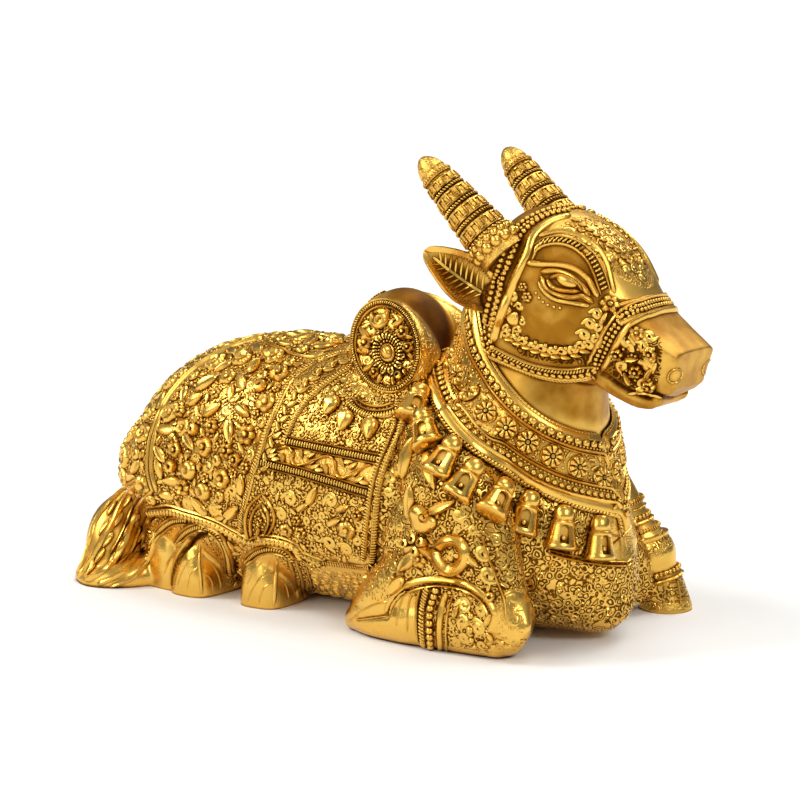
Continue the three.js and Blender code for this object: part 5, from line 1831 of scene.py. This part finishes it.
class NandiDress(bpy.types.PropertyGroup):
    """Sizes and colours of the figure that a user would change"""
    brass_colour: bpy.props.StringProperty(
        name="Brass", description="Colour of the polished metal, as sRGB hex", default="#EBBC58")
    patina_warm: bpy.props.StringProperty(
        name="Warm patina", description="Colour halfway into a recess, as sRGB hex", default="#A9731F")
    patina_dark: bpy.props.StringProperty(
        name="Dark patina", description="Colour at the bottom of a recess, as sRGB hex", default="#5A3204")
    bell_height: bpy.props.FloatProperty(
        name="Bell height", description="Height of each bell on the collar", default=0.0108, unit="LENGTH")
    rosette_width: bpy.props.FloatProperty(
        name="Rosette width", description="Width of each rosette on the collar", default=0.0066,
        unit="LENGTH")
    chased_shelter: bpy.props.FloatProperty(
        name="Shelter on chased parts", description="How near a corner patina stays in the carving",
        default=0.0012, unit="LENGTH")
    polished_shelter: bpy.props.FloatProperty(
        name="Shelter on polished parts", description="How near a corner patina stays on smooth parts",
        default=0.0018, unit="LENGTH")


class NANDI_OT_body(bpy.types.Operator):
    """Models the body, legs, hump, saddle cloth and tail as one form"""
    bl_idname = "nandi.body"
    bl_label = "Body"

    def execute(self, context):
        make_body(context.scene.nandi_dress)
        return {"FINISHED"}


class NANDI_OT_head(bpy.types.Operator):
    """Models the head"""
    bl_idname = "nandi.head"
    bl_label = "Head"

    def execute(self, context):
        make_head(context.scene.nandi_dress)
        return {"FINISHED"}


class NANDI_OT_horns(bpy.types.Operator):
    """Models the ringed horns and the hollow ears"""
    bl_idname = "nandi.horns"
    bl_label = "Horns and ears"

    def execute(self, context):
        make_horns(context.scene.nandi_dress)
        make_ears(context.scene.nandi_dress)
        return {"FINISHED"}


class NANDI_OT_bridle(bpy.types.Operator):
    """Lays the beaded bridle, the eyes and the chasing on the head"""
    bl_idname = "nandi.bridle"
    bl_label = "Bridle and face"

    def execute(self, context):
        make_bridle(context.scene.nandi_dress)
        make_face(context.scene.nandi_dress)
        return {"FINISHED"}


class NANDI_OT_collar(bpy.types.Operator):
    """Makes the band of the collar with its rims, beads and rosettes, and hangs the bells"""
    bl_idname = "nandi.collar"
    bl_label = "Collar and bells"

    def execute(self, context):
        make_collar_skin(context.scene.nandi_dress)
        make_collar(context.scene.nandi_dress)
        make_bells(context.scene.nandi_dress)
        return {"FINISHED"}


class NANDI_OT_saddle(bpy.types.Operator):
    """Lays the ropes, leaf borders, drops and grained ground of the saddle cloth"""
    bl_idname = "nandi.saddle"
    bl_label = "Saddle cloth"

    def execute(self, context):
        make_saddle(context.scene.nandi_dress)
        return {"FINISHED"}


class NANDI_OT_rump(bpy.types.Operator):
    """Lays the flowers, leaves and berries of the rump, and the hem below them"""
    bl_idname = "nandi.rump"
    bl_label = "Rump"

    def execute(self, context):
        make_rump(context.scene.nandi_dress)
        return {"FINISHED"}


class NANDI_OT_medals(bpy.types.Operator):
    """Lays the toothed wheel, boss, leaves and rope edge of both hump medals"""
    bl_idname = "nandi.medals"
    bl_label = "Hump medals"

    def execute(self, context):
        make_medals(context.scene.nandi_dress)
        return {"FINISHED"}


class NANDI_OT_forelegs(bpy.types.Operator):
    """Lays the cuffs, knee medallion, pendant, loop and scrolls of forelegs and chest"""
    bl_idname = "nandi.forelegs"
    bl_label = "Forelegs and chest"

    def execute(self, context):
        make_forelegs(context.scene.nandi_dress)
        make_chest(context.scene.nandi_dress)
        return {"FINISHED"}


class NANDI_OT_hooves(bpy.types.Operator):
    """Lays the strokes and straps of the hind hooves and the locks of the tail"""
    bl_idname = "nandi.hooves"
    bl_label = "Hooves and tail"

    def execute(self, context):
        make_hooves(context.scene.nandi_dress)
        return {"FINISHED"}


def soft_lamp(name, towards, energy, width):
    """A distant round softbox, by the direction it stands in and its width in degrees."""
    sun = bpy.data.lights.new(name, "SUN")
    sun.energy, sun.angle = energy, math.radians(width)
    lamp = bpy.data.objects.new(name, sun)
    bpy.context.scene.collection.objects.link(lamp)
    lamp.rotation_euler = Vector(towards).to_track_quat("Z", "Y").to_euler()


class NANDI_OT_stage(bpy.types.Operator):
    """Sets the pale floor, the studio lights and the camera"""
    bl_idname = "nandi.stage"
    bl_label = "Stage"

    def execute(self, context):
        deselect()
        bpy.ops.mesh.primitive_grid_add(x_subdivisions=8, y_subdivisions=8, size=80, location=(0, 0, 0))
        floor = context.object
        floor.name = "floor"
        material, tree = new_material("pale_floor")
        # Matt pale board: it keeps the figure's soft contact shadow and throws light up under it.
        shader = add_node(tree, "ShaderNodeBsdfPrincipled", Base_Color=linear("#F4F4F2"), Roughness=0.9)
        add_node(tree, "ShaderNodeOutputMaterial", [(shader, "BSDF", "Surface")])
        floor.data.materials.append(material)
        world = bpy.data.worlds.new("studio")
        world.use_nodes = True
        world.node_tree.nodes["Background"].inputs["Color"].default_value = (1, 1, 1, 1)
        world.node_tree.nodes["Background"].inputs["Strength"].default_value = 0.16
        context.scene.world = world
        # Broad, distant lamps light the whole floor evenly: a wide sky and five softboxes.
        soft_lamp("sky", (0.2, -0.2, 1), 0.75, 130)
        soft_lamp("top", (0.15, 0.15, 1), 0.88, 26)
        soft_lamp("key", (-0.75, -0.45, 0.75), 1.25, 20)
        soft_lamp("front", (-0.25, -0.9, 0.45), 0.85, 40)
        soft_lamp("side", (0.85, -0.3, 0.7), 0.8, 18)
        soft_lamp("back", (0.05, 0.8, 0.8), 0.7, 24)
        camera = bpy.data.cameras.new("camera")
        camera.sensor_width, camera.lens = 36.0, 36.0 * VIEW_PIXELS / PICTURE
        camera.clip_start = 0.01
        seat = bpy.data.objects.new("camera", camera)
        context.scene.collection.objects.link(seat)
        seat.location = Vector((EYE + SHIFT) * MM)
        aim = Vector((LOOK_AT + SHIFT) * MM) - seat.location
        seat.rotation_euler = aim.to_track_quat("-Z", "Y").to_euler()
        context.scene.camera = seat
        context.scene.view_settings.view_transform = "Standard"
        return {"FINISHED"}


class NANDI_PT_panel(bpy.types.Panel):
    """Lists the steps that make the figure"""
    bl_label = "Nandi"
    bl_idname = "NANDI_PT_panel"
    bl_space_type = "VIEW_3D"
    bl_region_type = "UI"
    bl_category = "Nandi"

    def draw(self, context):
        for step in STEPS:
            self.layout.operator(step.bl_idname)
        for key in NandiDress.__annotations__:
            self.layout.prop(context.scene.nandi_dress, key)


STEPS = (NANDI_OT_body, NANDI_OT_head, NANDI_OT_horns, NANDI_OT_bridle, NANDI_OT_collar,
         NANDI_OT_saddle, NANDI_OT_rump, NANDI_OT_medals, NANDI_OT_forelegs, NANDI_OT_hooves,
         NANDI_OT_stage)


def register():
    for kind in (NandiDress, *STEPS, NANDI_PT_panel):
        bpy.utils.register_class(kind)
    bpy.types.Scene.nandi_dress = bpy.props.PointerProperty(type=NandiDress)


def unregister():
    del bpy.types.Scene.nandi_dress
    for kind in (NANDI_PT_panel, *STEPS[::-1], NandiDress):
        bpy.utils.unregister_class(kind)


def main():
    register()
    for step in STEPS:
        group, name = step.bl_idname.split(".")
        getattr(getattr(bpy.ops, group), name)()


if __name__ == "__main__":
    main()
